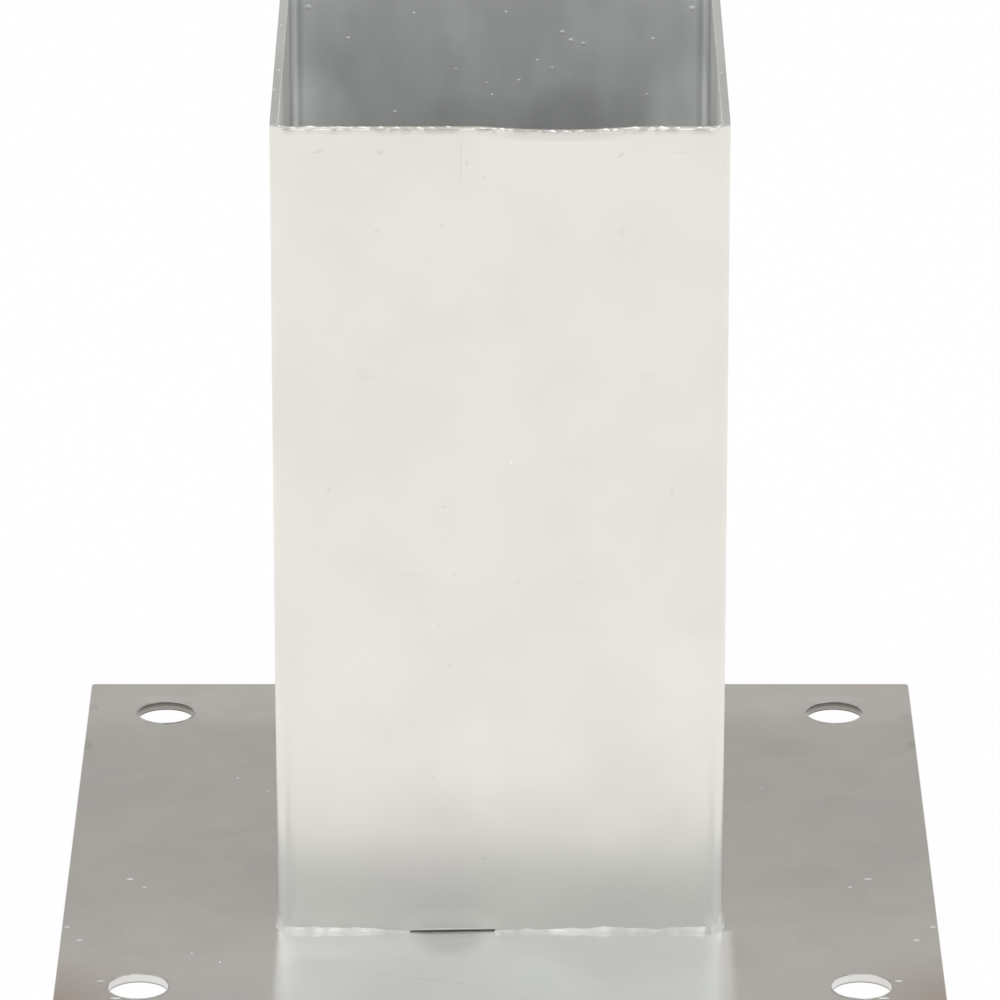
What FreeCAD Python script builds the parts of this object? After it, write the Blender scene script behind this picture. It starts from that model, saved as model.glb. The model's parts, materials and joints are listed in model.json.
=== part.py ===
"""Timber post base: a square socket of folded steel sheet, welded upright on a flat steel plate.

The plate lies on concrete or a deck and takes four anchors through the holes in its corners.
The foot of a square timber post stands in the socket and is held by screws through its side walls.

Lengths are in millimetres. The origin is the middle of the plate's underside, +Z is up and the
front of the post base, the side with the open slit at the socket's foot, looks along -Y.
"""

import FreeCAD, Part
import math
import os

import Sketcher

# Driving dimensions: name, size in millimetres, meaning.
SIZES = [
    ("plate_width", 156.0, "plate, side to side along X"),
    ("plate_depth", 156.0, "plate, front to back along Y"),
    ("plate_thickness", 1.6, "plate sheet"),
    ("plate_corner_radius", 0.8, "upright corners of the plate"),
    ("plate_edge_rounding", 0.3, "sheared top edge of the plate"),
    ("anchor_hole_diameter", 10.7, "holes for the anchors"),
    ("anchor_inset_across", 14.7, "anchor hole centres in from the plate's left and right edges"),
    ("anchor_inset_along", 14.7, "anchor hole centres in from the plate's front and back edges"),
    ("post_width", 75.0, "timber post along X"),
    ("post_depth", 75.0, "timber post along Y"),
    ("post_clearance", 0.5, "room between the post and each wall"),
    ("sleeve_wall", 1.6, "socket sheet"),
    ("sleeve_length", 150.0, "socket height above the plate"),
    ("bend_radius", 2.0, "inside radius of the folded corners"),
    ("rim_rounding", 0.25, "edges of the socket's open rim"),
    ("rim_dip_width", 27.0, "shallow dip in the front rim, across"),
    ("rim_dip_depth", 0.65, "shallow dip in the front rim, below the rim"),
    ("rim_dip_offset", 10.2, "middle of the dip, right of the socket's middle"),
    ("seam_gap", 1.0, "gap between the sheet's two edges, filled with weld"),
    ("seam_crown_width", 3.4, "closing weld on the back, across"),
    ("seam_crown_height", 0.5, "closing weld on the back, above the sheet"),
    ("slit_width", 15.1, "open slit at the socket's front foot"),
    ("slit_offset", 8.4, "middle of the slit, left of the socket's middle"),
    ("slit_height_left", 0.28, "slit height at its left end"),
    ("slit_height_right", 0.56, "slit height at its right end"),
    ("screw_hole_diameter", 9.0, "holes for the post screws"),
    ("screw_hole_low", 45.0, "lower screw holes above the plate"),
    ("screw_hole_pitch", 60.0, "upper screw holes above the lower ones"),
    ("weld_leg", 0.7, "foot weld, on the plate and up the socket"),
    ("weld_toe", 0.12, "edge of the foot weld left square"),
]

# Sizes that follow from the driving dimensions.
INNER_WIDTH = "(sizes.post_width + 2 * sizes.post_clearance)"
INNER_DEPTH = "(sizes.post_depth + 2 * sizes.post_clearance)"
OUTER_WIDTH = f"({INNER_WIDTH} + 2 * sizes.sleeve_wall)"
OUTER_DEPTH = f"({INNER_DEPTH} + 2 * sizes.sleeve_wall)"
OUTER_RADIUS = "(sizes.bend_radius + sizes.sleeve_wall)"
PLATE_TOP = "sizes.plate_thickness"
ANCHOR_PITCH_ACROSS = "(sizes.plate_width - 2 * sizes.anchor_inset_across)"
ANCHOR_PITCH_ALONG = "(sizes.plate_depth - 2 * sizes.anchor_inset_along)"
SLIT_LEFT_END = "(sizes.slit_offset + sizes.slit_width / 2)"

# How the constraints number a line's, arc's or circle's points, and a sketch's own axes and origin.
START, END, CENTRE = range(1, 4)
X_AXIS, Y_AXIS = range(-1, -3, -1)
ORIGIN = (X_AXIS, START)


def make_sheet(doc):
    """Fill the sheet of driving dimensions: meaning, size and the name that the sub-parts use."""
    sheet = doc.addObject("Spreadsheet::Sheet", "sizes")
    for row, (name, size, meaning) in enumerate(SIZES, 1):
        sheet.set(f"A{row}", meaning)
        sheet.set(f"B{row}", str(size))
        sheet.setAlias(f"B{row}", name)
    doc.recompute()
    return sheet


def make_body(doc, label):
    """Start a sub-part whose label is its name."""
    body = doc.addObject("PartDesign::Body", label)
    body.Label = label
    return body


def make_sketch(body, name, plane, height=None):
    """Start a sketch on one of the body's own planes, moved along its normal by the height."""
    sketch = body.newObject("Sketcher::SketchObject", name)
    support = next(feature for feature in body.Origin.OriginFeatures if feature.Role == plane)
    sketch.AttachmentSupport = [(support, "")]
    sketch.MapMode = "FlatFace"
    if height:
        sketch.setExpression(".AttachmentOffset.Base.z", height)
    return sketch


def tie(sketch, name, size, kind, *places):
    """Add a dimension between the places, name it and tie it to the sheet."""
    value = sketch.evalExpression(size)
    number = sketch.addConstraint(Sketcher.Constraint(kind, *places, value))
    sketch.renameConstraint(number, name)
    sketch.setExpression(f"Constraints.{name}", size)


def draw_rectangle(sketch, left, right, low, high):
    """Draw a rectangle through four numbers, with level and upright sides; gives its first line."""
    corners = [(left, low), (right, low), (right, high), (left, high)]
    points = [FreeCAD.Vector(x, y, 0) for x, y in corners]
    lines = [Part.LineSegment(points[side], points[(side + 1) % 4]) for side in range(4)]
    first = sketch.addGeometry(lines)[0]
    for side in range(4):
        following = first + (side + 1) % 4
        sketch.addConstraint(Sketcher.Constraint("Coincident", first + side, END, following, START))
        direction = "Vertical" if side % 2 else "Horizontal"
        sketch.addConstraint(Sketcher.Constraint(direction, first + side))
    return first


def draw_rounded_rectangle(sketch, name, width, depth, corner):
    """Draw a rectangle with rounded corners about the sketch's origin, tied to three sizes."""
    radius = sketch.evalExpression(corner)
    half_width = sketch.evalExpression(width) / 2
    half_depth = sketch.evalExpression(depth) / 2
    flat_x = half_width - radius
    flat_y = half_depth - radius
    ends = [
        ((-flat_x, -half_depth), (flat_x, -half_depth)),
        ((half_width, -flat_y), (half_width, flat_y)),
        ((flat_x, half_depth), (-flat_x, half_depth)),
        ((-half_width, flat_y), (-half_width, -flat_y)),
    ]
    middles = [(flat_x, -flat_y), (flat_x, flat_y), (-flat_x, flat_y), (-flat_x, -flat_y)]
    lines = [Part.LineSegment(*(FreeCAD.Vector(x, y, 0) for x, y in pair)) for pair in ends]
    arcs = []
    for corner_number, (x, y) in enumerate(middles):
        circle = Part.Circle(FreeCAD.Vector(x, y, 0), FreeCAD.Vector(0, 0, 1), radius)
        start = (corner_number - 1) * math.pi / 2
        arcs.append(Part.ArcOfCircle(circle, start, start + math.pi / 2))
    line = sketch.addGeometry(lines)[0]
    arc = sketch.addGeometry(arcs)[0]
    for side in range(4):
        following = line + (side + 1) % 4
        sketch.addConstraint(Sketcher.Constraint("Tangent", line + side, END, arc + side, START))
        sketch.addConstraint(Sketcher.Constraint("Tangent", arc + side, END, following, START))
        direction = "Vertical" if side % 2 else "Horizontal"
        sketch.addConstraint(Sketcher.Constraint(direction, line + side))
    for side in range(1, 4):
        sketch.addConstraint(Sketcher.Constraint("Equal", arc, arc + side))
    sketch.addConstraint(Sketcher.Constraint("Symmetric", line, START, line + 2, START, *ORIGIN))
    tie(sketch, name + "_width", width, "DistanceX", line + 3, START, line + 1, START)
    tie(sketch, name + "_depth", depth, "DistanceY", line, START, line + 2, START)
    tie(sketch, name + "_corner", corner, "Radius", arc)


def top_face(feature):
    """The highest face of a feature."""
    return max(feature.Shape.Faces, key=lambda face: face.CenterOfMass.z)


def edge_names(feature, wanted):
    """Names of those edges of a feature that are among the wanted ones."""
    names = []
    for number, edge in enumerate(feature.Shape.Edges, 1):
        if any(edge.isSame(other) for other in wanted):
            names.append(f"Edge{number}")
    return names


def pad(body, sketch, name, length):
    """Raise a sketch by a length."""
    feature = body.newObject("PartDesign::Pad", name)
    feature.Profile = sketch
    feature.setExpression("Length", length)
    body.Document.recompute()
    return feature


def cut_through(body, sketch, name, towards_normal=False, both_ways=False):
    """Cut a sketch right through the body and make sure that material has gone."""
    volume = body.Shape.Volume
    feature = body.newObject("PartDesign::Pocket", name)
    feature.Profile = sketch
    feature.Type = "ThroughAll"
    feature.Reversed = towards_normal
    if both_ways:
        feature.SideType = "Symmetric"
    body.Document.recompute()
    if feature.Shape.Volume >= volume:
        raise RuntimeError(f"{name} cuts nothing")
    return feature


def round_edges(body, feature, name, edges, radius):
    """Round some edges of a feature."""
    rounding = body.newObject("PartDesign::Fillet", name)
    rounding.Base = (feature, edge_names(feature, edges))
    rounding.setExpression("Radius", radius)
    body.Document.recompute()
    return rounding


def make_base_plate(doc):
    """The flat square plate with an anchor hole in each corner."""
    body = make_body(doc, "base_plate")
    outline = make_sketch(body, "plate_outline", "XY_Plane")
    draw_rounded_rectangle(
        outline, "plate", "sizes.plate_width", "sizes.plate_depth", "sizes.plate_corner_radius"
    )
    sheet = pad(body, outline, "plate_sheet", "sizes.plate_thickness")
    edges = top_face(sheet).OuterWire.Edges
    round_edges(body, sheet, "sheared_edge", edges, "sizes.plate_edge_rounding")
    cut_through(body, draw_anchor_holes(body), "anchor_holes", towards_normal=True)
    return body


def draw_anchor_holes(body):
    """Four equal circles at the corners of a rectangle about the plate's middle."""
    sketch = make_sketch(body, "anchor_hole_places", "XY_Plane")
    half_x = sketch.evalExpression(ANCHOR_PITCH_ACROSS) / 2
    half_y = sketch.evalExpression(ANCHOR_PITCH_ALONG) / 2
    radius = sketch.evalExpression("sizes.anchor_hole_diameter") / 2
    places = [(-half_x, -half_y), (half_x, -half_y), (half_x, half_y), (-half_x, half_y)]
    up = FreeCAD.Vector(0, 0, 1)
    circles = [Part.Circle(FreeCAD.Vector(x, y, 0), up, radius) for x, y in places]
    hole = sketch.addGeometry(circles)[0]
    for number in range(1, 4):
        sketch.addConstraint(Sketcher.Constraint("Equal", hole, hole + number))
    for number, direction in enumerate(["Horizontal", "Vertical", "Horizontal", "Vertical"]):
        following = hole + (number + 1) % 4
        sketch.addConstraint(Sketcher.Constraint(direction, hole + number, CENTRE, following, CENTRE))
    sketch.addConstraint(Sketcher.Constraint("Symmetric", hole, CENTRE, hole + 2, CENTRE, *ORIGIN))
    tie(sketch, "across", ANCHOR_PITCH_ACROSS, "DistanceX", hole, CENTRE, hole + 1, CENTRE)
    tie(sketch, "along", ANCHOR_PITCH_ALONG, "DistanceY", hole + 1, CENTRE, hole + 2, CENTRE)
    tie(sketch, "hole_diameter", "sizes.anchor_hole_diameter", "Diameter", hole)
    return sketch


def make_post_sleeve(doc):
    """The socket: one sheet folded round four bends, its edges meeting at the middle of the back."""
    body = make_body(doc, "post_sleeve")
    section = make_sketch(body, "sleeve_section", "XY_Plane", PLATE_TOP)
    draw_rounded_rectangle(section, "outside", OUTER_WIDTH, OUTER_DEPTH, OUTER_RADIUS)
    draw_rounded_rectangle(section, "inside", INNER_WIDTH, INNER_DEPTH, "sizes.bend_radius")
    walls = pad(body, section, "folded_walls", "sizes.sleeve_length")
    round_edges(body, walls, "rim", top_face(walls).Edges, "sizes.rim_rounding")
    cut_through(body, draw_rim_dip(body), "rim_dip", towards_normal=True)
    cut_through(body, draw_seam_gap(body), "seam_gap")
    cut_through(body, draw_foot_slit(body), "foot_slit", towards_normal=True)
    cut_through(body, draw_screw_holes(body), "screw_holes", both_ways=True)
    return body


def draw_rim_dip(body):
    """The shallow dip that the cut has left in the front rim: a level line over an arc."""
    sketch = make_sketch(body, "rim_dip_face", "XZ_Plane")
    middle = sketch.evalExpression("sizes.rim_dip_offset")
    half_width = sketch.evalExpression("sizes.rim_dip_width") / 2
    rim = sketch.evalExpression(PLATE_TOP) + sketch.evalExpression("sizes.sleeve_length")
    left = FreeCAD.Vector(middle - half_width, rim, 0)
    bottom = FreeCAD.Vector(middle, rim - sketch.evalExpression("sizes.rim_dip_depth"), 0)
    right = FreeCAD.Vector(middle + half_width, rim, 0)
    level = sketch.addGeometry([Part.LineSegment(right, left)])[0]
    arc = sketch.addGeometry([Part.Arc(left, bottom, right)])[0]
    low = sketch.addGeometry([Part.Point(bottom)], True)[0]
    sketch.addConstraint(Sketcher.Constraint("Coincident", level, END, arc, START))
    sketch.addConstraint(Sketcher.Constraint("Coincident", arc, END, level, START))
    sketch.addConstraint(Sketcher.Constraint("Horizontal", level))
    sketch.addConstraint(Sketcher.Constraint("PointOnObject", low, START, arc))
    tie(sketch, "rim", f"{PLATE_TOP} + sizes.sleeve_length", "DistanceY", *ORIGIN, level, START)
    tie(sketch, "offset", "sizes.rim_dip_offset", "DistanceX", *ORIGIN, low, START)
    tie(sketch, "left_half", "sizes.rim_dip_width / 2", "DistanceX", level, END, low, START)
    tie(sketch, "right_half", "sizes.rim_dip_width / 2", "DistanceX", low, START, level, START)
    tie(sketch, "depth", "sizes.rim_dip_depth", "DistanceY", low, START, level, START)
    return sketch


def draw_seam_gap(body):
    """The gap between the sheet's two edges, seen from the front."""
    sketch = make_sketch(body, "seam_gap_face", "XZ_Plane")
    half_gap = sketch.evalExpression("sizes.seam_gap") / 2
    low = sketch.evalExpression(PLATE_TOP)
    high = low + sketch.evalExpression("sizes.sleeve_length")
    line = draw_rectangle(sketch, -half_gap, half_gap, low, high)
    tie(sketch, "gap", "sizes.seam_gap", "DistanceX", line, START, line, END)
    tie(sketch, "left_half", "sizes.seam_gap / 2", "DistanceX", line, START, *ORIGIN)
    tie(sketch, "foot", PLATE_TOP, "DistanceY", *ORIGIN, line, START)
    tie(sketch, "length", "sizes.sleeve_length", "DistanceY", line + 1, START, line + 1, END)
    return sketch


def draw_foot_slit(body):
    """The slit that the front wall leaves open above the plate, a little higher at its right end."""
    sketch = make_sketch(body, "foot_slit_face", "XZ_Plane")
    middle = -sketch.evalExpression("sizes.slit_offset")
    half_slit = sketch.evalExpression("sizes.slit_width") / 2
    low = sketch.evalExpression(PLATE_TOP)
    corners = [
        (middle - half_slit, low),
        (middle + half_slit, low),
        (middle + half_slit, low + sketch.evalExpression("sizes.slit_height_right")),
        (middle - half_slit, low + sketch.evalExpression("sizes.slit_height_left")),
    ]
    points = [FreeCAD.Vector(x, y, 0) for x, y in corners]
    lines = [Part.LineSegment(points[side], points[(side + 1) % 4]) for side in range(4)]
    foot = sketch.addGeometry(lines)[0]
    for side in range(4):
        following = foot + (side + 1) % 4
        sketch.addConstraint(Sketcher.Constraint("Coincident", foot + side, END, following, START))
    sketch.addConstraint(Sketcher.Constraint("Horizontal", foot))
    sketch.addConstraint(Sketcher.Constraint("Vertical", foot + 1))
    sketch.addConstraint(Sketcher.Constraint("Vertical", foot + 3))
    tie(sketch, "width", "sizes.slit_width", "DistanceX", foot, START, foot, END)
    tie(sketch, "left_end", SLIT_LEFT_END, "DistanceX", foot, START, *ORIGIN)
    tie(sketch, "foot", PLATE_TOP, "DistanceY", *ORIGIN, foot, START)
    right, left = foot + 1, foot + 3
    tie(sketch, "right_height", "sizes.slit_height_right", "DistanceY", right, START, right, END)
    tie(sketch, "left_height", "sizes.slit_height_left", "DistanceY", left, END, left, START)
    return sketch


def draw_screw_holes(body):
    """Two round holes, one above the other, on the middle line of the side walls."""
    sketch = make_sketch(body, "screw_hole_places", "YZ_Plane")
    low = sketch.evalExpression(PLATE_TOP) + sketch.evalExpression("sizes.screw_hole_low")
    high = low + sketch.evalExpression("sizes.screw_hole_pitch")
    radius = sketch.evalExpression("sizes.screw_hole_diameter") / 2
    up = FreeCAD.Vector(0, 0, 1)
    circles = [Part.Circle(FreeCAD.Vector(0, z, 0), up, radius) for z in (low, high)]
    hole = sketch.addGeometry(circles)[0]
    sketch.addConstraint(Sketcher.Constraint("Equal", hole, hole + 1))
    for number in range(2):
        sketch.addConstraint(Sketcher.Constraint("PointOnObject", hole + number, CENTRE, Y_AXIS))
    lower = f"{PLATE_TOP} + sizes.screw_hole_low"
    tie(sketch, "lower", lower, "DistanceY", *ORIGIN, hole, CENTRE)
    tie(sketch, "pitch", "sizes.screw_hole_pitch", "DistanceY", hole, CENTRE, hole + 1, CENTRE)
    tie(sketch, "hole_diameter", "sizes.screw_hole_diameter", "Diameter", hole)
    return sketch


def make_foot_weld(doc):
    """The thin weld bead in the corner between the plate and the socket, open at the slit."""
    body = make_body(doc, "foot_weld")
    section = make_sketch(body, "weld_outline", "XY_Plane", PLATE_TOP)
    width = f"{OUTER_WIDTH} + 2 * sizes.weld_leg"
    depth = f"{OUTER_DEPTH} + 2 * sizes.weld_leg"
    corner = f"{OUTER_RADIUS} + sizes.weld_leg"
    draw_rounded_rectangle(section, "toe", width, depth, corner)
    draw_rounded_rectangle(section, "wall", OUTER_WIDTH, OUTER_DEPTH, OUTER_RADIUS)
    bead = pad(body, section, "bead", "sizes.weld_leg")
    edges = top_face(bead).OuterWire.Edges
    round_edges(body, bead, "bead_face", edges, "sizes.weld_leg - sizes.weld_toe")
    cut_through(body, draw_weld_gap(body), "slit_left_open", towards_normal=True)
    return body


def draw_weld_gap(body):
    """The stretch of the bead that is left out in front of the slit."""
    sketch = make_sketch(body, "weld_gap_face", "XZ_Plane")
    middle = -sketch.evalExpression("sizes.slit_offset")
    half_slit = sketch.evalExpression("sizes.slit_width") / 2
    low = sketch.evalExpression(PLATE_TOP)
    high = low + sketch.evalExpression("sizes.weld_leg")
    line = draw_rectangle(sketch, middle - half_slit, middle + half_slit, low, high)
    tie(sketch, "width", "sizes.slit_width", "DistanceX", line, START, line, END)
    tie(sketch, "left_end", SLIT_LEFT_END, "DistanceX", line, START, *ORIGIN)
    tie(sketch, "foot", PLATE_TOP, "DistanceY", *ORIGIN, line, START)
    tie(sketch, "height", "sizes.weld_leg", "DistanceY", line + 1, START, line + 1, END)
    return sketch


def make_seam_weld(doc):
    """The weld that closes the sheet's edges: it fills the gap, flush inside and crowned outside."""
    body = make_body(doc, "seam_weld")
    pad(body, draw_seam_root(body), "root", "sizes.sleeve_length")
    crown = "sizes.sleeve_length - sizes.weld_leg"
    pad(body, draw_seam_crown(body), "crown", crown)
    return body


def draw_seam_root(body):
    """The weld metal between the sheet's two edges, seen from above."""
    sketch = make_sketch(body, "seam_root_section", "XY_Plane", PLATE_TOP)
    half_gap = sketch.evalExpression("sizes.seam_gap") / 2
    inner = sketch.evalExpression(INNER_DEPTH) / 2
    outer = sketch.evalExpression(OUTER_DEPTH) / 2
    line = draw_rectangle(sketch, -half_gap, half_gap, inner, outer)
    tie(sketch, "gap", "sizes.seam_gap", "DistanceX", line, START, line, END)
    tie(sketch, "left_half", "sizes.seam_gap / 2", "DistanceX", line, START, *ORIGIN)
    tie(sketch, "inner_face", f"{INNER_DEPTH} / 2", "DistanceY", *ORIGIN, line, START)
    tie(sketch, "wall", "sizes.sleeve_wall", "DistanceY", line + 1, START, line + 1, END)
    return sketch


def draw_seam_crown(body):
    """The low round back of the weld, seen from above; it starts over the foot weld."""
    sketch = make_sketch(body, "seam_crown_section", "XY_Plane", f"{PLATE_TOP} + sizes.weld_leg")
    outer = sketch.evalExpression(OUTER_DEPTH) / 2
    half_width = sketch.evalExpression("sizes.seam_crown_width") / 2
    height = sketch.evalExpression("sizes.seam_crown_height")
    left = FreeCAD.Vector(-half_width, outer, 0)
    right = FreeCAD.Vector(half_width, outer, 0)
    arc = Part.Arc(right, FreeCAD.Vector(0, outer + height, 0), left)
    chord = sketch.addGeometry([Part.LineSegment(left, right)])[0]
    back = sketch.addGeometry([arc])[0]
    top = sketch.addGeometry([Part.Point(FreeCAD.Vector(0, outer + height, 0))], True)[0]
    sketch.addConstraint(Sketcher.Constraint("Coincident", chord, END, back, START))
    sketch.addConstraint(Sketcher.Constraint("Coincident", back, END, chord, START))
    sketch.addConstraint(Sketcher.Constraint("Symmetric", chord, START, chord, END, Y_AXIS))
    sketch.addConstraint(Sketcher.Constraint("PointOnObject", top, START, Y_AXIS))
    sketch.addConstraint(Sketcher.Constraint("PointOnObject", top, START, back))
    tie(sketch, "width", "sizes.seam_crown_width", "DistanceX", chord, START, chord, END)
    tie(sketch, "wall_face", f"{OUTER_DEPTH} / 2", "DistanceY", *ORIGIN, chord, START)
    tie(sketch, "height", "sizes.seam_crown_height", "DistanceY", chord, START, top, START)
    return sketch


def check_document(doc, bodies):
    """Stop if any object failed or any sub-part isn't one sound solid."""
    for item in doc.Objects:
        if "Invalid" in item.State or "Error" in item.State:
            raise RuntimeError(f"{item.Name} failed: {item.State}")
    for body in bodies:
        shape = body.Shape
        if shape.isNull() or not shape.isValid() or len(shape.Solids) != 1:
            raise RuntimeError(f"{body.Label} isn't one sound solid")


def main():
    """Build the sub-parts and write each to its own file."""
    doc = FreeCAD.newDocument("timber_post_base")
    make_sheet(doc)
    makers = [make_base_plate, make_post_sleeve, make_foot_weld, make_seam_weld]
    bodies = [maker(doc) for maker in makers]
    doc.recompute()
    check_document(doc, bodies)
    os.makedirs("parts", exist_ok=True)
    for body in bodies:
        body.Shape.exportStep(f"parts/{body.Label}.step")
        print(f"{body.Label}: {body.Shape.Volume:.1f} cubic mm of steel")


main()
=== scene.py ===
"""Looks of the timber post base: cloudy galvanised sheet, zinc-coated welds and a pale studio.

The solids stand as they were packed. Added are the rippled weld beads, the ragged burr on the
socket's cut rim, the rings of zinc round the holes and the small drops that galvanising leaves.
"""

import json
import logging
import math
from contextlib import contextmanager
from dataclasses import dataclass
from enum import Enum
from functools import cached_property
from typing import Any, Callable, Iterator

import bmesh
import bpy
from mathutils import Euler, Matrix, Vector, noise


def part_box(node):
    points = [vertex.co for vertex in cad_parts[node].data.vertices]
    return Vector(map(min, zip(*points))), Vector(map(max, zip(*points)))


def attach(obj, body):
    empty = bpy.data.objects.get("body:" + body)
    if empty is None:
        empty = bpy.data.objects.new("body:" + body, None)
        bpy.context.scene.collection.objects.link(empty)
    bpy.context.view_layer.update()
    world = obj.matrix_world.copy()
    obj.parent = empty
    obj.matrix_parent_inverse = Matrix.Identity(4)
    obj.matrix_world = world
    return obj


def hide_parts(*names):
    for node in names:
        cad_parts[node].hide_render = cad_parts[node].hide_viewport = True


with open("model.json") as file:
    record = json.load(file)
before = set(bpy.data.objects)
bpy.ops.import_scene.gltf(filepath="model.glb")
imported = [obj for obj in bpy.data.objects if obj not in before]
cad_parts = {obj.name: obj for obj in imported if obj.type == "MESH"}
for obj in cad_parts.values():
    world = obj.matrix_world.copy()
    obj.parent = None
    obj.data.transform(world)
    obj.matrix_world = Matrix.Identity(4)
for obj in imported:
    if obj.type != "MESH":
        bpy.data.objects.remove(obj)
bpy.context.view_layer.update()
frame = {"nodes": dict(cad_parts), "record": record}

Tree = bpy.types.NodeTree
Node = bpy.types.Node
Piece = bpy.types.Object
Material = bpy.types.Material
Pair = tuple[float, float]
Triple = tuple[float, float, float]
Colour = tuple[float, float, float, float]

LOG = logging.getLogger("post_base")
MM = 0.001
BODY = "root"
SMOOTH_ANGLE = 60.0
# How near 1 a face's direction has to be, and how far a point may be off, when they are picked.
FACING = 0.9
SLACK = 0.1 * MM
MIDDLE = (0, 0, 0)
WHITE = (1.0, 1.0, 1.0, 1.0)
SIDES = (("left", -1), ("right", 1))

# Settings that many nodes share: the run of a fade, what a sum does and what a mix mixes.
STRAIGHT = {"interpolation_type": "LINEAR"}
SOFT = {"interpolation_type": "SMOOTHSTEP"}
PLUS = {"operation": "ADD"}
MINUS = {"operation": "SUBTRACT"}
TIMES = {"operation": "MULTIPLY"}
GREATER = {"operation": "MAXIMUM"}
LENGTH = {"operation": "LENGTH"}
NUMBERS = {"data_type": "FLOAT"}
COLOURS = {"data_type": "RGBA"}
# Which inputs of a mix take the two things that it mixes.
MIX_INPUTS = {"FLOAT": (2, 3), "RGBA": (6, 7)}
# Most values of a noise lie between these two.
NOISE_SPAN = (0.34, 0.66)


class Slot(Enum):
    """The record's material slots."""

    PLATE = "galvanised_plate"
    SLEEVE = "galvanised_sleeve"
    WELD = "zinc_coated_weld"


class Blend(Enum):
    """How a mark changes the colour under it."""

    DARKER = -1.0
    LIGHTER = 1.0


def linear(hex_colour: str) -> Colour:
    """Turn an sRGB hex colour into linear numbers.

    Args:
        hex_colour: Six hex digits after a hash sign.

    Returns:
        Linear red, green and blue, and an alpha of 1.
    """
    levels = [int(hex_colour[start:start + 2], 16) / 255 for start in (1, 3, 5)]
    red, green, blue = (
        level / 12.92 if level <= 0.04045 else ((level + 0.055) / 1.055) ** 2.4 for level in levels
    )
    return red, green, blue, 1.0


def metres(*millimetres: float, start: float = 0.0) -> tuple[float, ...]:
    """Turn lengths in millimetres into metres, counted from a start in metres."""
    return tuple(start + value * MM for value in millimetres)


def clamp(value: float, low: float, high: float) -> float:
    """Keep a value between two others."""
    return min(high, max(low, value))


def wave(place: Vector, length: float, seed: float) -> float:
    """A smooth chance number from about -1 to 1 at a place, the same at each run."""
    return noise.noise(place / length + Vector((seed, 2 * seed, 3 * seed))) * 1.6


def add_waves(place: Vector, mean: float, waves: tuple[Triple, ...]) -> float:
    """Add waves to a value.

    Args:
        place: The point that the waves are worked out for.
        mean: The value without waves.
        waves: How much each wave adds at most, its length in metres and its seed.

    Returns:
        The value with its waves.
    """
    return sum((height * wave(place, length, seed) for height, length, seed in waves), mean)


def add_node(tree: Tree, kind: str, settings: dict[str, Any] | None = None, inputs: Any = ()) -> Node:
    """Add a node with its settings and links.

    Args:
        tree: The node tree that the node goes into.
        kind: The node's type, without the start that all shader nodes share.
        settings: Properties of the node.
        inputs: A value to set or a socket or node to link, for the first inputs in order, or
            for each input by number or name. A node is linked by its first output in use.

    Returns:
        The new node.
    """
    node = tree.nodes.new("ShaderNode" + kind)
    for name, value in (settings or {}).items():
        setattr(node, name, value)
    for place, value in inputs.items() if isinstance(inputs, dict) else enumerate(inputs):
        if isinstance(value, bpy.types.Node):
            value = next(socket for socket in value.outputs if socket.enabled)
        if isinstance(value, bpy.types.NodeSocket):
            tree.links.new(value, node.inputs[place])
        else:
            node.inputs[place].default_value = value
    return node


def work_in(tree: Tree, how: dict[str, str], level: Any, run: dict[str, str], fade: tuple[Any, ...]) -> Node:
    """Work a fade into a level.

    Args:
        tree: The material's node tree.
        how: PLUS, MINUS or TIMES.
        level: The level so far.
        run: STRAIGHT or SOFT.
        fade: What the fade follows, where it starts and ends, and, if not 0 and 1, its ends' values.

    Returns:
        The changed level.
    """
    return add_node(tree, "Math", how, (level, add_node(tree, "MapRange", run, fade)))


def mix(tree: Tree, kind: dict[str, str], share: Any, first: Any, second: Any) -> Node:
    """Mix two numbers or two colours.

    Args:
        tree: The node tree of a material or a world.
        kind: NUMBERS or COLOURS.
        share: The second one's share.
        first: What a share of 0 gives.
        second: What a share of 1 gives.

    Returns:
        The mix.
    """
    low, high = MIX_INPUTS[kind["data_type"]]
    return add_node(tree, "Mix", kind, {0: share, low: first, high: second})


def clear_tree(owner: Any) -> Tree:
    """Empty the node tree of a material or a world.

    Args:
        owner: The material or world.

    Returns:
        Its node tree.
    """
    owner.use_nodes = True
    owner.node_tree.nodes.clear()
    return owner.node_tree


def seen_directly(tree: Tree) -> Node:
    """Tell the rays of the camera, of mirrors and of glass, which are 1, from the rest.

    Args:
        tree: The node tree of a material or a world.

    Returns:
        The share of such rays.
    """
    path = add_node(tree, "LightPath")
    glossy = add_node(tree, "Math", GREATER, (path.outputs["Is Camera Ray"], path.outputs["Is Glossy Ray"]))
    return add_node(tree, "Math", GREATER, (glossy, path.outputs["Is Transmission Ray"]))


def deselect_all() -> None:
    """Leave nothing selected, because an operator acts on all that is."""
    if bpy.context.mode != "OBJECT":
        bpy.ops.object.mode_set(mode="OBJECT")
    bpy.ops.object.select_all(action="DESELECT")


def pick(*pieces: Piece) -> None:
    """Select some pieces alone.

    Args:
        pieces: The pieces; the first becomes the active one.
    """
    deselect_all()
    for piece in pieces:
        piece.select_set(True)
    bpy.context.view_layer.objects.active = pieces[0]


@contextmanager
def editing(piece: Piece) -> Iterator[None]:
    """Edit one piece for the length of a with block.

    Args:
        piece: The piece, which is picked first.

    Yields:
        Nothing, in edit mode.
    """
    pick(piece)
    bpy.ops.object.mode_set(mode="EDIT")
    yield
    bpy.ops.object.mode_set(mode="OBJECT")


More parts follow.
